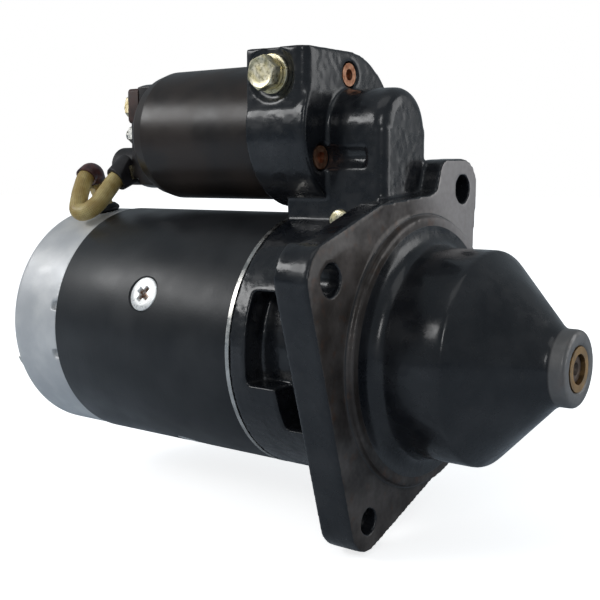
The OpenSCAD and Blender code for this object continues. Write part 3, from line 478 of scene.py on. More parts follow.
def commutator_copper():
    """Copper bars with mica lines between them, and the brushes' dark track."""
    look = Look("commutator_copper", (0.62, 0.30, 0.16), 0.3, metal=1.0)
    bars = 30
    lines = look.math("COSINE", look.times(look.angle(), float(bars)))
    mica = look.ramp(lines, 0.93, 0.99)
    wear = look.ramp(look.noise(0.2, 4, (0.3, 1, 1)), 0.35, 0.7)
    copper = look.mix(wear, (0.66, 0.33, 0.18), (0.38, 0.17, 0.09))
    look.color_by(look.mix(mica, copper, (0.05, 0.04, 0.03)))
    look.rough_noise(0.5, 0.22, 0.4)
    look.raise_by(mica, -0.15)
    return look.done()


def make_materials():
    steel = (0.50, 0.50, 0.51)
    return {
        "casting": casting_enamel(),
        "yoke": yoke_enamel(),
        "can": can_enamel(),
        "cover": cover_silver(),
        "rim": turned_steel("rim_steel", (0.74, 0.72, 0.68), 0.25),
        "ground": turned_steel("ground_steel", (0.55, 0.55, 0.55), 0.22),
        "oiled": turned_steel("oiled_steel", (0.33, 0.33, 0.34), 0.3, 6.0),
        "brown_iron": turned_steel("brown_iron", (0.16, 0.125, 0.105), 0.45, 7.0),
        "bronze": turned_steel("bush_bronze", (0.42, 0.27, 0.13), 0.4, 5.0),
        "yellow_zinc": plated("yellow_zinc", (0.66, 0.58, 0.34), (0.78, 0.72, 0.55), 0.32, 0.35),
        "white_zinc": plated("white_zinc", (0.66, 0.65, 0.61), (0.78, 0.76, 0.70), 0.3),
        "brass": plated("tinned_brass", (0.62, 0.50, 0.26), (0.74, 0.66, 0.48), 0.3),
        "copper_screw": plated("copper_screw", (0.30, 0.13, 0.07), (0.50, 0.27, 0.17), 0.42),
        "spring": plated("spring_wire", steel, (0.40, 0.40, 0.41), 0.3),
        "screw_white": screw_white(),
        "bakelite": moulded("bakelite", (0.016, 0.012, 0.011), 0.36, 1.0, 0.03, 0.3),
        "block": moulded("brown_block", (0.05, 0.024, 0.018), 0.5, 1.2, 0.04),
        "rubber": moulded("rubber", (0.013, 0.011, 0.012), 0.55, 1.4, 0.05),
        "gland": moulded("gland_rubber", (0.008, 0.010, 0.012), 0.5, 1.2, 0.04),
        "bobbin": moulded("bobbin", (0.52, 0.44, 0.30), 0.5),
        "board": moulded("brush_board", (0.22, 0.15, 0.08), 0.55, 2.0, 0.04),
        "carbon": moulded("carbon", (0.05, 0.045, 0.042), 0.45, 3.0, 0.03),
        "braid": braid(),
        "sleeve": sleeve_maroon(),
        "laminated": laminated_iron(),
        "wire": wound("enamelled_wire", (0.45, 0.17, 0.08), 0.9),
        "slot_wire": wound("slot_wire", (0.50, 0.22, 0.11), 2.6),
        "tape": taped("coil_tape", (0.30, 0.15, 0.08)),
        "copper": commutator_copper(),
        "contact": turned_steel("contact_copper", (0.62, 0.33, 0.19), 0.3, 8.0),
    }


# ---------------------------------------------------------------- mesh making

def build(name, points, faces, uvs=None):
    """A mesh object from millimetre points. Edges sharper than 35 degrees stay sharp."""
    mesh = bpy.data.meshes.new(name)
    mesh.from_pydata([Vector(p) * MM for p in points], [], faces)
    if uvs is not None:
        layer = mesh.uv_layers.new(name="UVMap")
        for loop in mesh.loops:
            layer.data[loop.index].uv = uvs[loop.vertex_index]
    piece = bpy.data.objects.new(name, mesh)
    bpy.context.scene.collection.objects.link(piece)
    finish_mesh(piece)
    return piece


def finish_mesh(piece, sharp=35):
    shape = bmesh.new()
    shape.from_mesh(piece.data)
    bmesh.ops.recalc_face_normals(shape, faces=shape.faces)
    shape.to_mesh(piece.data)
    shape.free()
    piece.data.shade_smooth()
    piece.data.set_sharp_from_angle(angle=math.radians(sharp))


def mount_piece(piece, body, material, replaced=()):
    piece.data.materials.clear()
    piece.data.materials.append(material)
    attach(piece, body)
    if replaced:
        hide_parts(*replaced)
    return piece


def rounded(profile, radius, steps=4):
    """The closed profile with each corner turned into an arc. A corner given as (x, r, 0) stays sharp."""
    result = []
    count = len(profile)
    for i, corner in enumerate(profile):
        here = Vector(corner[:2])
        before = Vector(profile[i - 1][:2]) - here
        after = Vector(profile[(i + 1) % count][:2]) - here
        size = corner[2] if len(corner) > 2 else radius
        if size <= 0 or here.y < 1e-6:
            result.append(here)
            continue
        half = before.angle(after) / 2
        reach = min(size / math.tan(half), before.length * 0.49, after.length * 0.49)
        size = reach * math.tan(half)
        start = here + before.normalized() * reach
        end = here + after.normalized() * reach
        centre = here + (before.normalized() + after.normalized()).normalized() * (size / math.sin(half))
        a, b = start - centre, end - centre
        turn = a.angle_signed(b)
        for k in range(steps + 1):
            t = -turn * k / steps
            cos, sin = math.cos(t), math.sin(t)
            result.append(centre + Vector((a.x * cos - a.y * sin, a.x * sin + a.y * cos)))
    return result


def revolve(profile, segments=160):
    """Points and faces of the closed profile, (x, r), turned round the X axis."""
    points = []
    rings = []
    for x, r in profile:
        if r < 1e-6:
            rings.append([len(points)])
            points.append((x, 0, 0))
            continue
        rings.append(list(range(len(points), len(points) + segments)))
        for k in range(segments):
            a = 2 * math.pi * k / segments
            points.append((x, r * math.cos(a), r * math.sin(a)))
    faces = []
    for i, ring in enumerate(rings):
        other = rings[(i + 1) % len(rings)]
        if len(ring) == 1 and len(other) == 1:
            continue
        for k in range(segments):
            n = (k + 1) % segments
            corners = [ring[k % len(ring)], ring[n % len(ring)], other[n % len(other)], other[k % len(other)]]
            faces.append(list(dict.fromkeys(corners)))
    return points, faces


def moved(points, origin, direction=(1, 0, 0), roll=0.0):
    """Points made along +X from 0, put at an origin and turned to a direction."""
    turn = Vector((1, 0, 0)).rotation_difference(Vector(direction)).to_matrix()
    turn = turn @ Matrix.Rotation(roll, 3, "X")
    return [turn @ Vector(p) + Vector(origin) for p in points]


def joined(parts):
    """One list of points and faces from several."""
    points, faces = [], []
    for more_points, more_faces in parts:
        start = len(points)
        points.extend(more_points)
        faces.extend([[start + i for i in face] for face in more_faces])
    return points, faces


def bridge(faces, a, b, count):
    """Adds the faces between two rings of count points, which start at a and at b."""
    for k in range(count):
        n = (k + 1) % count
        faces.append([a + k, a + n, b + n, b + k])


def thread(x0, x1, radius, pitch, segments=40):
    """A threaded rod along +X, with a chamfer at each end."""
    depth = 0.6 * pitch
    steps = max(8, int((x1 - x0) / pitch * 8))
    points, faces = [], []
    for i in range(steps + 1):
        x = x0 + (x1 - x0) * i / steps
        cap = min(radius, radius - depth + min(x - x0, x1 - x) + 0.15)
        for k in range(segments):
            phase = (x / pitch - k / segments) % 1.0
            r = min(cap, radius - depth * abs(2 * phase - 1) ** 1.3)
            a = 2 * math.pi * k / segments
            points.append((x, r * math.cos(a), r * math.sin(a)))
    for i in range(steps):
        bridge(faces, i * segments, (i + 1) * segments, segments)
    faces.append(list(range(segments)))
    faces.append(list(range(steps * segments, (steps + 1) * segments)))
    return points, faces


def hexagon(height, flats, bore=0.0, dished=0.0, both=False):
    """A hex head or nut along +X from 0, chamfered at its outer end, or at both ends for a nut."""
    segments = 96
    flat_r = flats / 2
    crown = flat_r * 0.96
    slope = math.tan(math.radians(28))

    def reach(k):
        part = (k / segments * 6) % 1.0 - 0.5
        return flat_r / math.cos(part * math.pi / 3)

    def ring(x, radii):
        return [(x[k] if isinstance(x, list) else x, radii[k] * math.cos(2 * math.pi * k / segments),
                 radii[k] * math.sin(2 * math.pi * k / segments)) for k in range(segments)]

    out = [reach(k) for k in range(segments)]
    drop = [max(0.0, (r - crown) * slope) for r in out]
    lift = [d if both else min(d, 0.25) * 0.4 for d in drop]
    inner = bore if bore > 0 else crown * 0.55
    rings = [ring(0.0, [inner] * segments), ring(0.0, [crown] * segments), ring(lift, out),
             ring([height - d for d in drop], out), ring(height, [crown] * segments),
             ring(height - dished, [crown * 0.82] * segments), ring(height - dished, [inner] * segments)]
    if bore > 0:
        rings[0] = ring(0.0, [inner + 0.5] * segments)
        rings[-1] = ring(height, [inner + 0.5] * segments)
        rings[-2] = ring(height, [crown * 0.9] * segments)
        rings.append(ring(height - 0.5, [inner] * segments))
        rings.append(ring(0.5, [inner] * segments))
    points = [p for r in rings for p in r]
    faces = []
    last = len(rings) if bore > 0 else len(rings) - 1
    for i in range(last):
        bridge(faces, i * segments, (i + 1) % len(rings) * segments, segments)
    if bore <= 0:
        faces.append(list(range(segments)))
        faces.append(list(range((len(rings) - 1) * segments, len(rings) * segments)))
    return points, faces


def washer(x0, thickness, outer, inner, edge=0.3):
    profile = [(x0, inner), (x0, outer), (x0 + thickness, outer), (x0 + thickness, inner)]
    return revolve(rounded(profile, edge, 3), 96)


def spring_washer(x0, thickness, outer, inner, gap=0.12, lift=0.7):
    """A split washer: one turn of square wire, with its ends a little apart."""
    segments = 90
    points, faces = [], []
    for k in range(segments + 1):
        a = gap / 2 + (2 * math.pi - gap) * k / segments
        x = x0 + lift * (k / segments - 0.5)
        for dx, r in ((0, inner), (0, outer), (thickness, outer), (thickness, inner)):
            points.append((x + dx, r * math.cos(a), r * math.sin(a)))
    for k in range(segments):
        bridge(faces, 4 * k, 4 * k + 4, 4)
    faces.append([0, 1, 2, 3])
    faces.append([4 * segments + j for j in range(4)])
    return points, faces


def curve_through(points, steps):
    """A smooth curve through listed points, as evenly laid points."""
    knots = [Vector(p) for p in points]
    knots = [2 * knots[0] - knots[1]] + knots + [2 * knots[-1] - knots[-2]]
    path = []
    for i in range(1, len(knots) - 2):
        a, b, c, d = knots[i - 1:i + 3]
        for s in range(steps):
            t = s / steps
            path.append(0.5 * (2 * b + (c - a) * t + (2 * a - 5 * b + 4 * c - d) * t * t
                               + (3 * b - a - 3 * c + d) * t ** 3))
    path.append(knots[-2])
    return path


def hose(path, radius, sides=28, inner=None):
    """A tube along a path. radius is a function of the place along it, from 0 to 1, and of the angle."""
    points, uvs, faces = [], [], []
    count = len(path)
    normal = None
    run = 0.0
    shells = [radius] if inner is None else [radius, inner]
    frames = []
    for i in range(count):
        tangent = (path[min(i + 1, count - 1)] - path[max(i - 1, 0)]).normalized()
        if normal is None:
            normal = tangent.orthogonal().normalized()
        normal = (normal - tangent * normal.dot(tangent)).normalized()
        run += (path[i] - path[i - 1]).length if i else 0.0
        frames.append((path[i], normal, tangent.cross(normal), run))
    for shell in shells:
        for i, (centre, u, v, length) in enumerate(frames):
            for k in range(sides):
                a = 2 * math.pi * k / sides
                r = shell(i / (count - 1), a)
                points.append(centre + r * (math.cos(a) * u + math.sin(a) * v))
                uvs.append((k / sides, length))
    for s in range(len(shells)):
        base = s * count * sides
        for i in range(count - 1):
            bridge(faces, base + i * sides, base + (i + 1) * sides, sides)
    tail = (count - 1) * sides
    if inner is None:
        faces.append(list(range(sides)))
        faces.append([tail + k for k in range(sides)])
    else:
        other = count * sides
        for k in range(sides):
            n = (k + 1) % sides
            faces.append([k, n, other + n, other + k])
            faces.append([tail + k, tail + n, other + tail + n, other + tail + k])
    return points, faces, uvs


def softened(node, name, voxel, passes, fit=None, texture=0.0):
    """A copy of a CAD node's surface with the rounded edges of a casting or a moulding.

    fit moves a point back on to its true round surface, and texture is the height of the uneven skin."""
    mesh = nodes[node].data.copy()
    shape = bmesh.new()
    shape.from_mesh(mesh)
    bmesh.ops.remove_doubles(shape, verts=shape.verts, dist=1e-6)
    shape.to_mesh(mesh)
    shape.free()
    rough = bpy.data.objects.new(name + "_rough", mesh)
    bpy.context.scene.collection.objects.link(rough)
    remesh = rough.modifiers.new("remesh", "REMESH")
    remesh.mode = "VOXEL"
    remesh.voxel_size = voxel * MM
    smooth = rough.modifiers.new("smooth", "SMOOTH")
    smooth.factor = 0.5
    smooth.iterations = passes
    graph = bpy.context.evaluated_depsgraph_get()
    result = bpy.data.meshes.new_from_object(rough.evaluated_get(graph))
    bpy.data.objects.remove(rough)
    result.name = name
    places = [vertex.co / MM for vertex in result.vertices]
    normals = [vertex.normal.copy() for vertex in result.vertices]
    moved_to = []
    for place, normal in zip(places, normals):
        if fit is not None:
            place = fit(place)
        if texture > 0 and place.x < -0.6:
            place = place + normal * texture * noise.noise(place * 0.35)
        moved_to.extend(place * MM)
    result.vertices.foreach_set("co", moved_to)
    result.update()
    piece = bpy.data.objects.new(name, result)
    bpy.context.scene.collection.objects.link(piece)
    result.shade_smooth()
    return piece


def carved(piece, cutters):
    """Cuts the cutters out of a piece and deletes them."""
    for cutter in cutters:
        change = piece.modifiers.new("cut", "BOOLEAN")
        change.operation = "DIFFERENCE"
        change.solver = "EXACT"
        change.object = cutter
    graph = bpy.context.evaluated_depsgraph_get()
    result = bpy.data.meshes.new_from_object(piece.evaluated_get(graph))
    piece.modifiers.clear()
    piece.data = result
    for cutter in cutters:
        bpy.data.objects.remove(cutter)
    result.shade_smooth()
    result.set_sharp_from_angle(angle=math.radians(30))
    return piece


# ---------------------------------------------------------------- pieces

SOLENOID = Span("solenoid_case")
SOLENOID_Z = SOLENOID.mid.z
YOKE = Span("yoke")
COVER = Span("rear_cover")
FIRST_POLE = math.radians(158)
POLE_ANGLES = [FIRST_POLE + k * math.pi / 2 for k in range(4)]


def onto_round(place):
    """Puts a point that is almost on one of the housing's turned surfaces exactly on it."""
    slack = 0.12
    snout_r, barrel_r, collar_r = 44.5, 57.5, 33.95
    snout_x, cone_x, cone_r = 33.0, 60.0, 17.5
    r = math.hypot(place.y, place.z)
    target = None
    if 10.5 < place.x < snout_x - 1.5:
        target = snout_r
    elif snout_x + 1.5 < place.x < cone_x - 1.5:
        target = snout_r + (cone_r - snout_r) * (place.x - snout_x) / (cone_x - snout_x)
    elif -58 < place.x < -17:
        target = barrel_r
    if target is not None and abs(r - target) < slack:
        return Vector((place.x, place.y * target / r, place.z * target / r))
    if -69 < place.x < -39.5:
        dz = place.z - SOLENOID_Z
        r = math.hypot(place.y, dz)
        if abs(r - collar_r) < slack:
            return Vector((place.x, place.y * collar_r / r, SOLENOID_Z + dz * collar_r / r))
    return place


def make_housing(looks):
    piece = softened("drive_housing", "housing_casting", 0.9, 4, onto_round, 0.09)
    mount_piece(piece, "casing", looks["casting"], ["drive_housing"])


def make_yoke(looks):
    """The rolled frame tube, with a countersink at each pole screw."""
    x0, x1 = YOKE.low.x, YOKE.high.x
    r = YOKE.high.z
    wall = 7
    profile = rounded([(x0, r - wall), (x0, r), (x1, r), (x1, r - wall)], 0.5, 3)
    tube = build("yoke_tube", *revolve(profile, 256))
    x = Span("pole_screws").mid.x
    cutters = []
    for a in POLE_ANGLES:
        outward = (0, math.cos(a), math.sin(a))
        cone = [(r - 9, 0), (r - 9, 4.25), (r - 4.9, 4.25), (r - 0.5, 8.7), (r + 1.5, 9.3), (r + 1.5, 0)]
        points, faces = revolve(cone, 64)
        cutters.append(build("countersink", moved(points, (x, 0, 0), outward), faces))
    carved(tube, cutters)
    mount_piece(tube, "casing", looks["yoke"], ["yoke"])


def make_pole_screws(looks):
    """Countersunk cross-slot screws, slightly domed."""
    x = Span("pole_screws").mid.x
    top = YOKE.high.z - 0.35
    bodies = []
    cutters = []
    for a in POLE_ANGLES:
        outward = (0, math.cos(a), math.sin(a))
        head = [(top - 15, 0, 0), (top - 15, 4), (top - 4.2, 4), (top - 0.9, 7.9), (top - 0.1, 7.9, 0.6),
                (top + 0.15, 5.5, 3), (top + 0.25, 0, 0)]
        points, faces = revolve(rounded(head, 0.3, 3), 72)
        bodies.append((moved(points, (x, 0, 0), outward), faces))
        for turn in (0.6, 0.6 + math.pi / 2):
            half_l, half_w, deep = 4.0, 1.35, 2.6
            wedge = [(-deep, s * half_l * 0.45, t * half_w * 0.6) for s in (-1, 1) for t in (-1, 1)]
            wedge += [(0.6, s * half_l * 1.08, t * half_w * 1.1) for s in (-1, 1) for t in (-1, 1)]
            sides = [[0, 1, 3, 2], [4, 6, 7, 5], [0, 4, 5, 1], [2, 3, 7, 6], [0, 2, 6, 4], [1, 5, 7, 3]]
            place = Vector((x, 0, 0)) + Vector(outward) * top
            cutters.append(build("slot", moved(wedge, place, outward, turn), sides))
    piece = build("pole_screw_heads", *joined(bodies))
    carved(piece, cutters)
    mount_piece(piece, "casing", looks["screw_white"], ["pole_screws"])


def make_cover(looks):
    piece = softened("rear_cover", "end_cover", 0.8, 3, onto_cover)
    mount_piece(piece, "casing", looks["cover"], ["rear_cover"])


def onto_cover(place):
    r = math.hypot(place.y, place.z)
    outer = COVER.high.z
    if COVER.low.x + 5 < place.x < COVER.high.x - 4.5 and abs(r - outer) < 0.15:
        return Vector((place.x, place.y * outer / r, place.z * outer / r))
    return place


def make_can(looks):
    """The solenoid's drawn can, rolled over the cap at its rear."""
    x0, x1 = SOLENOID.low.x, SOLENOID.high.x
    r = SOLENOID.size.z / 2
    shoulder = 9
    neck = r - 4.6
    profile = [(x1, 10.5), (x1, r - 1, 1), (x1 - 1, r, 0.8), (x0 + shoulder + 0.5, r, 2.5),
               (x0 + 3.2, r - 1.6, 2.5), (x0 + 1.2, neck + 1.4, 1.2), (x0, neck + 0.4, 0.6),
               (x0, neck - 0.9, 0.3), (x0 + 8, neck - 0.9, 0.3), (x0 + 8.2, r - 3, 0.5),
               (x1 - 7, r - 3, 0.5), (x1 - 7, 10.5, 0.5)]
    points, faces = revolve(rounded(profile, 0.5, 5), 200)
    can = build("solenoid_can", moved(points, (0, 0, SOLENOID_Z)), faces)
    mount_piece(can, "casing", looks["can"], ["solenoid_case"])


def make_cap(looks):
    cap = softened("solenoid_cap", "terminal_cap", 0.5, 3)
    mount_piece(cap, "casing", looks["bakelite"], ["solenoid_cap"])


def make_side_bolt(looks):
    """Plated hex bolt with a plain and a split washer in the spotface of the side boss."""
    bolt, rings = Span("side_bolt"), Span("side_washers")
    axis = (0, -1, 0)
    origin = Vector((bolt.mid.x, rings.high.y, bolt.mid.z))
    flats = bolt.size.z * math.cos(math.radians(30))
    thread_r, pitch = 3.95, 1.25
    plain = washer(0, 1.6, 8.4, 4.25)
    split = spring_washer(1.95, 1.5, 6.7, 4.4)
    points, faces = joined([plain, split])
    stack = build("side_washer_pair", moved(points, origin, axis, 2.0), faces)
    mount_piece(stack, "casing", looks["yellow_zinc"], ["side_washers"])
    seat = 3.65
    head = hexagon(origin.y - bolt.low.y - seat, flats, dished=0.35)
    shank = thread(-(bolt.high.y - origin.y), seat + 0.3, thread_r, pitch)
    parts = joined([([(p[0] + seat, p[1], p[2]) for p in head[0]], head[1]), shank])
    piece = build("side_bolt_hex", moved(parts[0], origin, axis, 0.32), parts[1])
    mount_piece(piece, "casing", looks["yellow_zinc"], ["side_bolt"])


def make_terminals(looks):
    """Studs with real threads, and chamfered nuts on their washers."""
    widest = 8.0
    for node, length, name, slot, look, pitch in (
            ("battery_stud", 22, "battery_stud_threaded", "stud_brass", "brass", 1.25),
            ("control_stud", None, "control_stud_threaded", "zinc_screw", "white_zinc", 1.0)):
        span = Span(node)
        end = span.low.x + length if length else span.high.x
        points, faces = thread(span.low.x, end, min(span.size.y, widest) / 2, pitch)
        piece = build(name, moved(points, (0, span.mid.y, span.mid.z)), faces)
        mount_piece(piece, "casing", looks[look], [node])
    for node, name, slot, look, flats, bore, ring in (
            ("battery_nut", "battery_nut_hex", "stud_brass", "brass", 13, 3.9, 1.2),
            ("control_nut", "control_nut_hex", "zinc_screw", "white_zinc", 10, 2.9, 0.0)):
        span = Span(node)
        parts = [hexagon(span.size.x - ring, flats, bore, both=True)]
        if ring:
            parts.append(washer(span.size.x - ring, ring, 7.8, 4.1))
        points, faces = joined(parts)
        piece = build(name, moved(points, (span.low.x, span.mid.y, span.mid.z), roll=0.4), faces)
        mount_piece(piece, "casing", looks[look], [node])


def make_through_bolts(looks):
    """Long bolts through the frame: threaded rear ends with a chamfered nut and a washer each."""
    bolts, nuts = Span("through_bolts"), Span("through_nuts")
    a = FIRST_POLE + math.pi / 4
    ring_r = 47
    rod_r, shank_r, nut_flats, nut_h, washer_h = 3, 2.9, 10, 5.0, 1.2
    thread_end = bolts.low.x + 18
    sides = 32
    rods, hexes = [], []
    for turn in (a, a + math.pi):
        y, z = ring_r * math.cos(turn), ring_r * math.sin(turn)
        rods.append(set_off(thread(bolts.low.x, thread_end, rod_r, 1.0, sides), y, z))
        start = bolts.low.x + 17.8
        shank = [(start, 0, 0), (start, shank_r), (bolts.high.x, shank_r), (bolts.high.x, 0, 0)]
        rods.append(set_off(revolve(rounded(shank, 0.3, 2), sides), y, z))
        nut = hexagon(nut_h, nut_flats, 2.9, both=True)
        nut = ([(p[0] + nuts.low.x, p[1], p[2]) for p in nut[0]], nut[1])
        hexes.append(set_off(nut, y, z))
        hexes.append(set_off(washer(nuts.high.x - washer_h, washer_h, 6, 3.1), y, z))
    piece = build("through_bolt_rods", *joined(rods))
    mount_piece(piece, "casing", looks["white_zinc"], ["through_bolts"])
    piece = build("through_nut_hexes", *joined(hexes))
    mount_piece(piece, "casing", looks["white_zinc"], ["through_nuts"])


def set_off(parts, y, z):
    """Points and faces made on the X axis, set off to the side."""
    return moved(parts[0], (0, y, z)), parts[1]


LEAD_POINTS = [(-170, -11, 75.5), (-170.5, -13.5, 73.8), (-171, -16, 72.1), (-171.5, -19.5, 68.5),
               (-172, -23, 64.5), (-173, -26.5, 60.5), (-175, -29.5, 57.5), (-178.5, -31, 56),
               (-182, -31, 56.5), (-184.5, -29.5, 58.5), (-186.5, -27, 62), (-188.5, -24, 66),
               (-190, -21, 70), (-191, -18, 73.5), (-191.5, -15, 75.5), (-192, -12, 75),
               (-193, -10, 72.5), (-193, -9, 69.5), (-191.5, -9, 66.5), (-188.8, -10, 63.8),
               (-186.3, -10.8, 61.5), (-186, -10.2, 58), (-186, -9.2, 52)]
LEAD_R = 4.5
SLEEVE_FROM, SLEEVE_TO = 13, 17
LEAD_STEPS = 8


def make_lead(looks):
    """The braided lead, its end sleeve, the boot over its terminal and the gland in the cover."""
    path = curve_through(LEAD_POINTS, LEAD_STEPS)

    def lead_radius(t, a):
        return LEAD_R * (0.97 + 0.03 * noise.noise(Vector((t * 22, math.cos(a), math.sin(a)))))

    points, faces, uvs = hose(path, lead_radius, 32)
    piece = build("lead_braid", points, faces, uvs)
    mount_piece(piece, "casing", looks["braid"], ["motor_lead"])

    stretch = path[SLEEVE_FROM * LEAD_STEPS:SLEEVE_TO * LEAD_STEPS + 1]

    def sleeve_radius(t, a):
        lip = 0.25 * math.exp(-((min(t, 1 - t)) * 14) ** 2)
        fold = 0.14 * noise.noise(Vector((t * 9, 1.5 * math.cos(a), 1.5 * math.sin(a))))
        return LEAD_R + 0.75 + lip + fold

    points, faces, uvs = hose(stretch, sleeve_radius, 32, lambda t, a: LEAD_R + 0.12)
    piece = build("end_sleeve", points, faces, uvs)
    mount_piece(piece, "casing", looks["sleeve"], ["lead_sleeve"])

    boot = softened("lead_boot", "boot_moulding", 0.4, 5)
    mount_piece(boot, "casing", looks["rubber"], ["lead_boot"])

    gland = Span("lead_grommet")
    outward = Vector((0, math.cos(math.radians(100)), math.sin(math.radians(100))))
    base = COVER.high.z - 7
    bore, stem, flange = LEAD_R + 0.2, 5.9, 7.6
    profile = [(base, bore), (base, stem), (base + 7.2, stem), (base + 7.6, flange, 0.8),
               (base + 9, flange, 1.2), (base + 10.6, stem, 1.0), (base + 11, bore, 0.4)]
    points, faces = revolve(rounded(profile, 0.4, 5), 72)
    piece = build("lead_gland", moved(points, (gland.mid.x, 0, 0), outward), faces)
    mount_piece(piece, "casing", looks["gland"], ["lead_grommet"])


def make_lever_pin(looks):
    """The lever's plated pin, with a low domed head at the near side and a riveted far end."""
    pin = Span("lever_pin")
    half = pin.size.y / 2
    r = 3.95
    profile = [(-half - 0.1, 0, 0), (-half - 0.1, 3.4), (-half + 0.5, r), (half - 0.6, r),
               (half - 0.6, 5.4, 0.5), (half + 0.6, 4.8, 1.0), (half + 1.0, 2.5, 1.5), (half + 1.0, 0, 0)]
    points, faces = revolve(rounded(profile, 0.3, 4), 72)
    piece = build("lever_pin_headed", moved(points, pin.mid, (0, -1, 0)), faces)
    mount_piece(piece, "casing", looks["yellow_zinc"], ["lever_pin"])


def make_shaft(looks):
    """The armature shaft, stepped along its length and centre-drilled at its ends."""
    span = Span("armature_shaft")
    x0, x1 = span.low.x, span.high.x
    seat0, seat1 = Span("centre_plate").low.x, Span("centre_plate").high.x + 0.5
    journal = Span("stop_collar").high.x + 1
    drive_r, end_r, core_r, mid_r = 8.5, 6, 9, 10
    rear = COVER.low.x + 15.8
    profile = [(x0 + 3, 0, 0), (x0 + 3, 1.0, 0.1), (x0, 2.6, 0.1), (x0, end_r, 0.6), (rear, end_r, 0.2),
               (rear, core_r, 0.6), (seat0, core_r, 0.2), (seat0, mid_r, 0.5), (seat1, mid_r, 0.5),
               (seat1, drive_r, 0.4),
               (journal, drive_r, 0.6), (journal, end_r, 0.3), (x1, end_r, 0.9), (x1, 2.6, 0.1),
               (x1 - 3, 1.0, 0.1), (x1 - 3, 0, 0)]
    points, faces = revolve(rounded(profile, 0.3, 3), 96)
    piece = build("shaft_turned", points, faces)
    mount_piece(piece, "armature", looks["brown_iron"], ["armature_shaft"])


def make_pinion(looks):
    """Ten straight teeth, their ends chamfered to find the ring gear, on the pinion's neck."""
    span, clutch = Span("pinion"), Span("clutch_shell")
    x1 = span.high.x
    width = 22
    x0 = x1 - width
    teeth, module = 10, 3
    pitch_r = teeth * module / 2
    bore = 8.56
    flank = [(-1.35, -0.82), (-0.6, -0.66), (0, -0.5), (0.55, -0.33), (0.95, -0.19), (0.95, 0.0),
             (0.95, 0.19), (0.55, 0.33), (0, 0.5), (-0.6, 0.66), (-1.35, 0.82)]

    def outline(limit, shrink):
        ring = []
        for k in range(teeth):
            for rise, side in flank:
                a = 2 * math.pi * (k + side * shrink * 0.5) / teeth
                ring.append((min(limit, pitch_r + rise * module), a))
        return ring

    tip = pitch_r + 0.95 * module
    root = pitch_r - 1.35 * module
    stations = [(x0, tip - 1.0, 1.0), (x0 + 0.8, tip, 1.0), (x1 - 2.4, tip, 1.0), (x1, tip - 1.8, 0.72)]
    points, faces = [], []
    rings = []
    for x, limit, shrink in stations:
        rings.append(range(len(points), len(points) + teeth * len(flank)))
        points.extend((x, r * math.cos(a), r * math.sin(a)) for r, a in outline(limit, shrink))
    count = teeth * len(flank)
    for a, b in zip(rings, rings[1:]):
        bridge(faces, a[0], b[0], count)
    angles = [a for r, a in outline(tip, 1.0)]
    for ring, x in ((rings[0], x0), (rings[-1], x1)):
        hole = range(len(points), len(points) + count)
        points.extend((x, bore * math.cos(a), bore * math.sin(a)) for a in angles)
        bridge(faces, ring[0], hole[0], count)
        rings.append(hole)
    bridge(faces, rings[-2][0], rings[-1][0], count)
    neck = [(span.low.x, bore), (span.low.x, 11.9), (clutch.high.x - 2.5, 11.9), (clutch.high.x - 2.5, 13.9),
            (x0 - 1, 13.9), (x0 - 1, root + 0.2), (x0 + 0.2, root + 0.2), (x0 + 0.2, bore)]
    parts = joined([(points, faces), revolve(rounded(neck, 0.3, 3), 96)])
    piece = build("pinion_gear", *parts)
    mount_piece(piece, "pinion", looks["oiled"], ["pinion"])


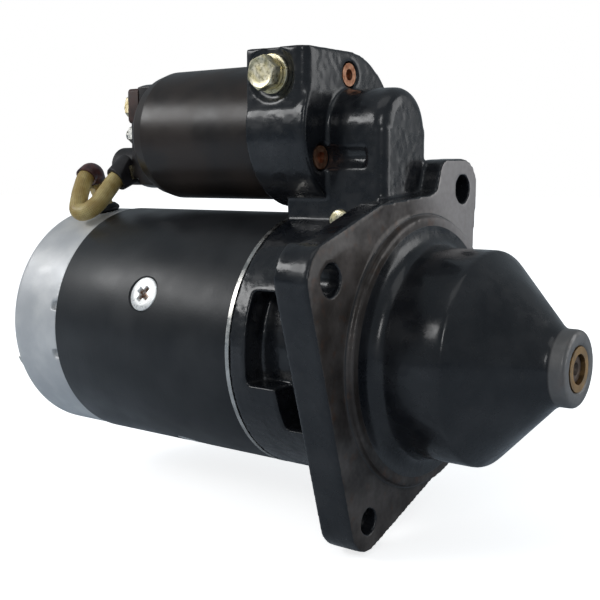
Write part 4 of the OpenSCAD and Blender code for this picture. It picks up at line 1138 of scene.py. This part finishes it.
def make_block(looks):
    """The brown block under the battery terminal's nut, wrapped round the top of the cap's ridge."""
    nut, stud = Span("battery_nut"), Span("battery_stud")
    x1 = nut.high.x
    y0, y1 = -10.5, 8.0
    half, corner = 8.6, 2
    z = stud.mid.z
    points = []
    for x, grow in ((x1 + 0.05, -0.4), (x1 + 0.5, 0.0), (x1 + 7.4, 0.0)):
        ring = []
        for cy, cz, start in ((y1 - corner, z + half - corner, 0), (y0 + corner, z + half - corner, 90),
                              (y0 + corner, z - half + corner, 180), (y1 - corner, z - half + corner, 270)):
            for k in range(5):
                a = math.radians(start + 22.5 * k)
                ring.append((x, cy + (corner + grow) * math.cos(a), cz + (corner + grow) * math.sin(a)))
        points.extend(ring)
    side = 20
    faces = [list(range(side)), list(range(2 * side, 3 * side))]
    for i in range(2):
        bridge(faces, i * side, (i + 1) * side, side)
    piece = build("terminal_block", points, faces)
    mount_piece(piece, "casing", looks["block"])


CARRIED = {
    "rim": ["centre_plate"],
    "bronze": ["centre_bush", "nose_bush", "rear_bush"],
    "laminated": ["armature_core"],
    "oiled": ["pole_shoes", "solenoid_core", "stop_collar", "drive_sleeve", "clutch_shell", "shift_lever"],
    "ground": ["clutch_rollers", "plunger", "contact_rod"],
    "tape": ["field_coils"],
    "board": ["brush_plate"],
    "white_zinc": ["brush_screws"],
    "carbon": ["brush_1", "brush_2", "brush_3", "brush_4"],
    "spring": ["brush_spring_1", "brush_spring_2", "brush_spring_3", "brush_spring_4", "return_spring",
               "contact_spring"],
    "bobbin": ["solenoid_bobbin"],
    "wire": ["solenoid_winding"],
    "slot_wire": ["armature_winding"],
    "rubber": ["solenoid_seal"],
    "copper_screw": ["solenoid_screws"],
    "brass": ["motor_stud", "motor_nut", "lead_lug"],
    "copper": ["commutator"],
    "contact": ["contact_disc"],
}


def finish_carried(looks):
    """Gives each CAD node whose shape stays its own finish."""
    for look, names in CARRIED.items():
        for name in names:
            data = nodes[name].data
            data.materials.clear()
            data.materials.append(looks[look])


make_camera()
make_studio()
LOOKS = make_materials()
finish_carried(LOOKS)
make_housing(LOOKS)
make_yoke(LOOKS)
make_pole_screws(LOOKS)
make_cover(LOOKS)
make_can(LOOKS)
make_cap(LOOKS)
make_block(LOOKS)
make_side_bolt(LOOKS)
make_terminals(LOOKS)
make_through_bolts(LOOKS)
make_lead(LOOKS)
make_lever_pin(LOOKS)
make_shaft(LOOKS)
make_pinion(LOOKS)
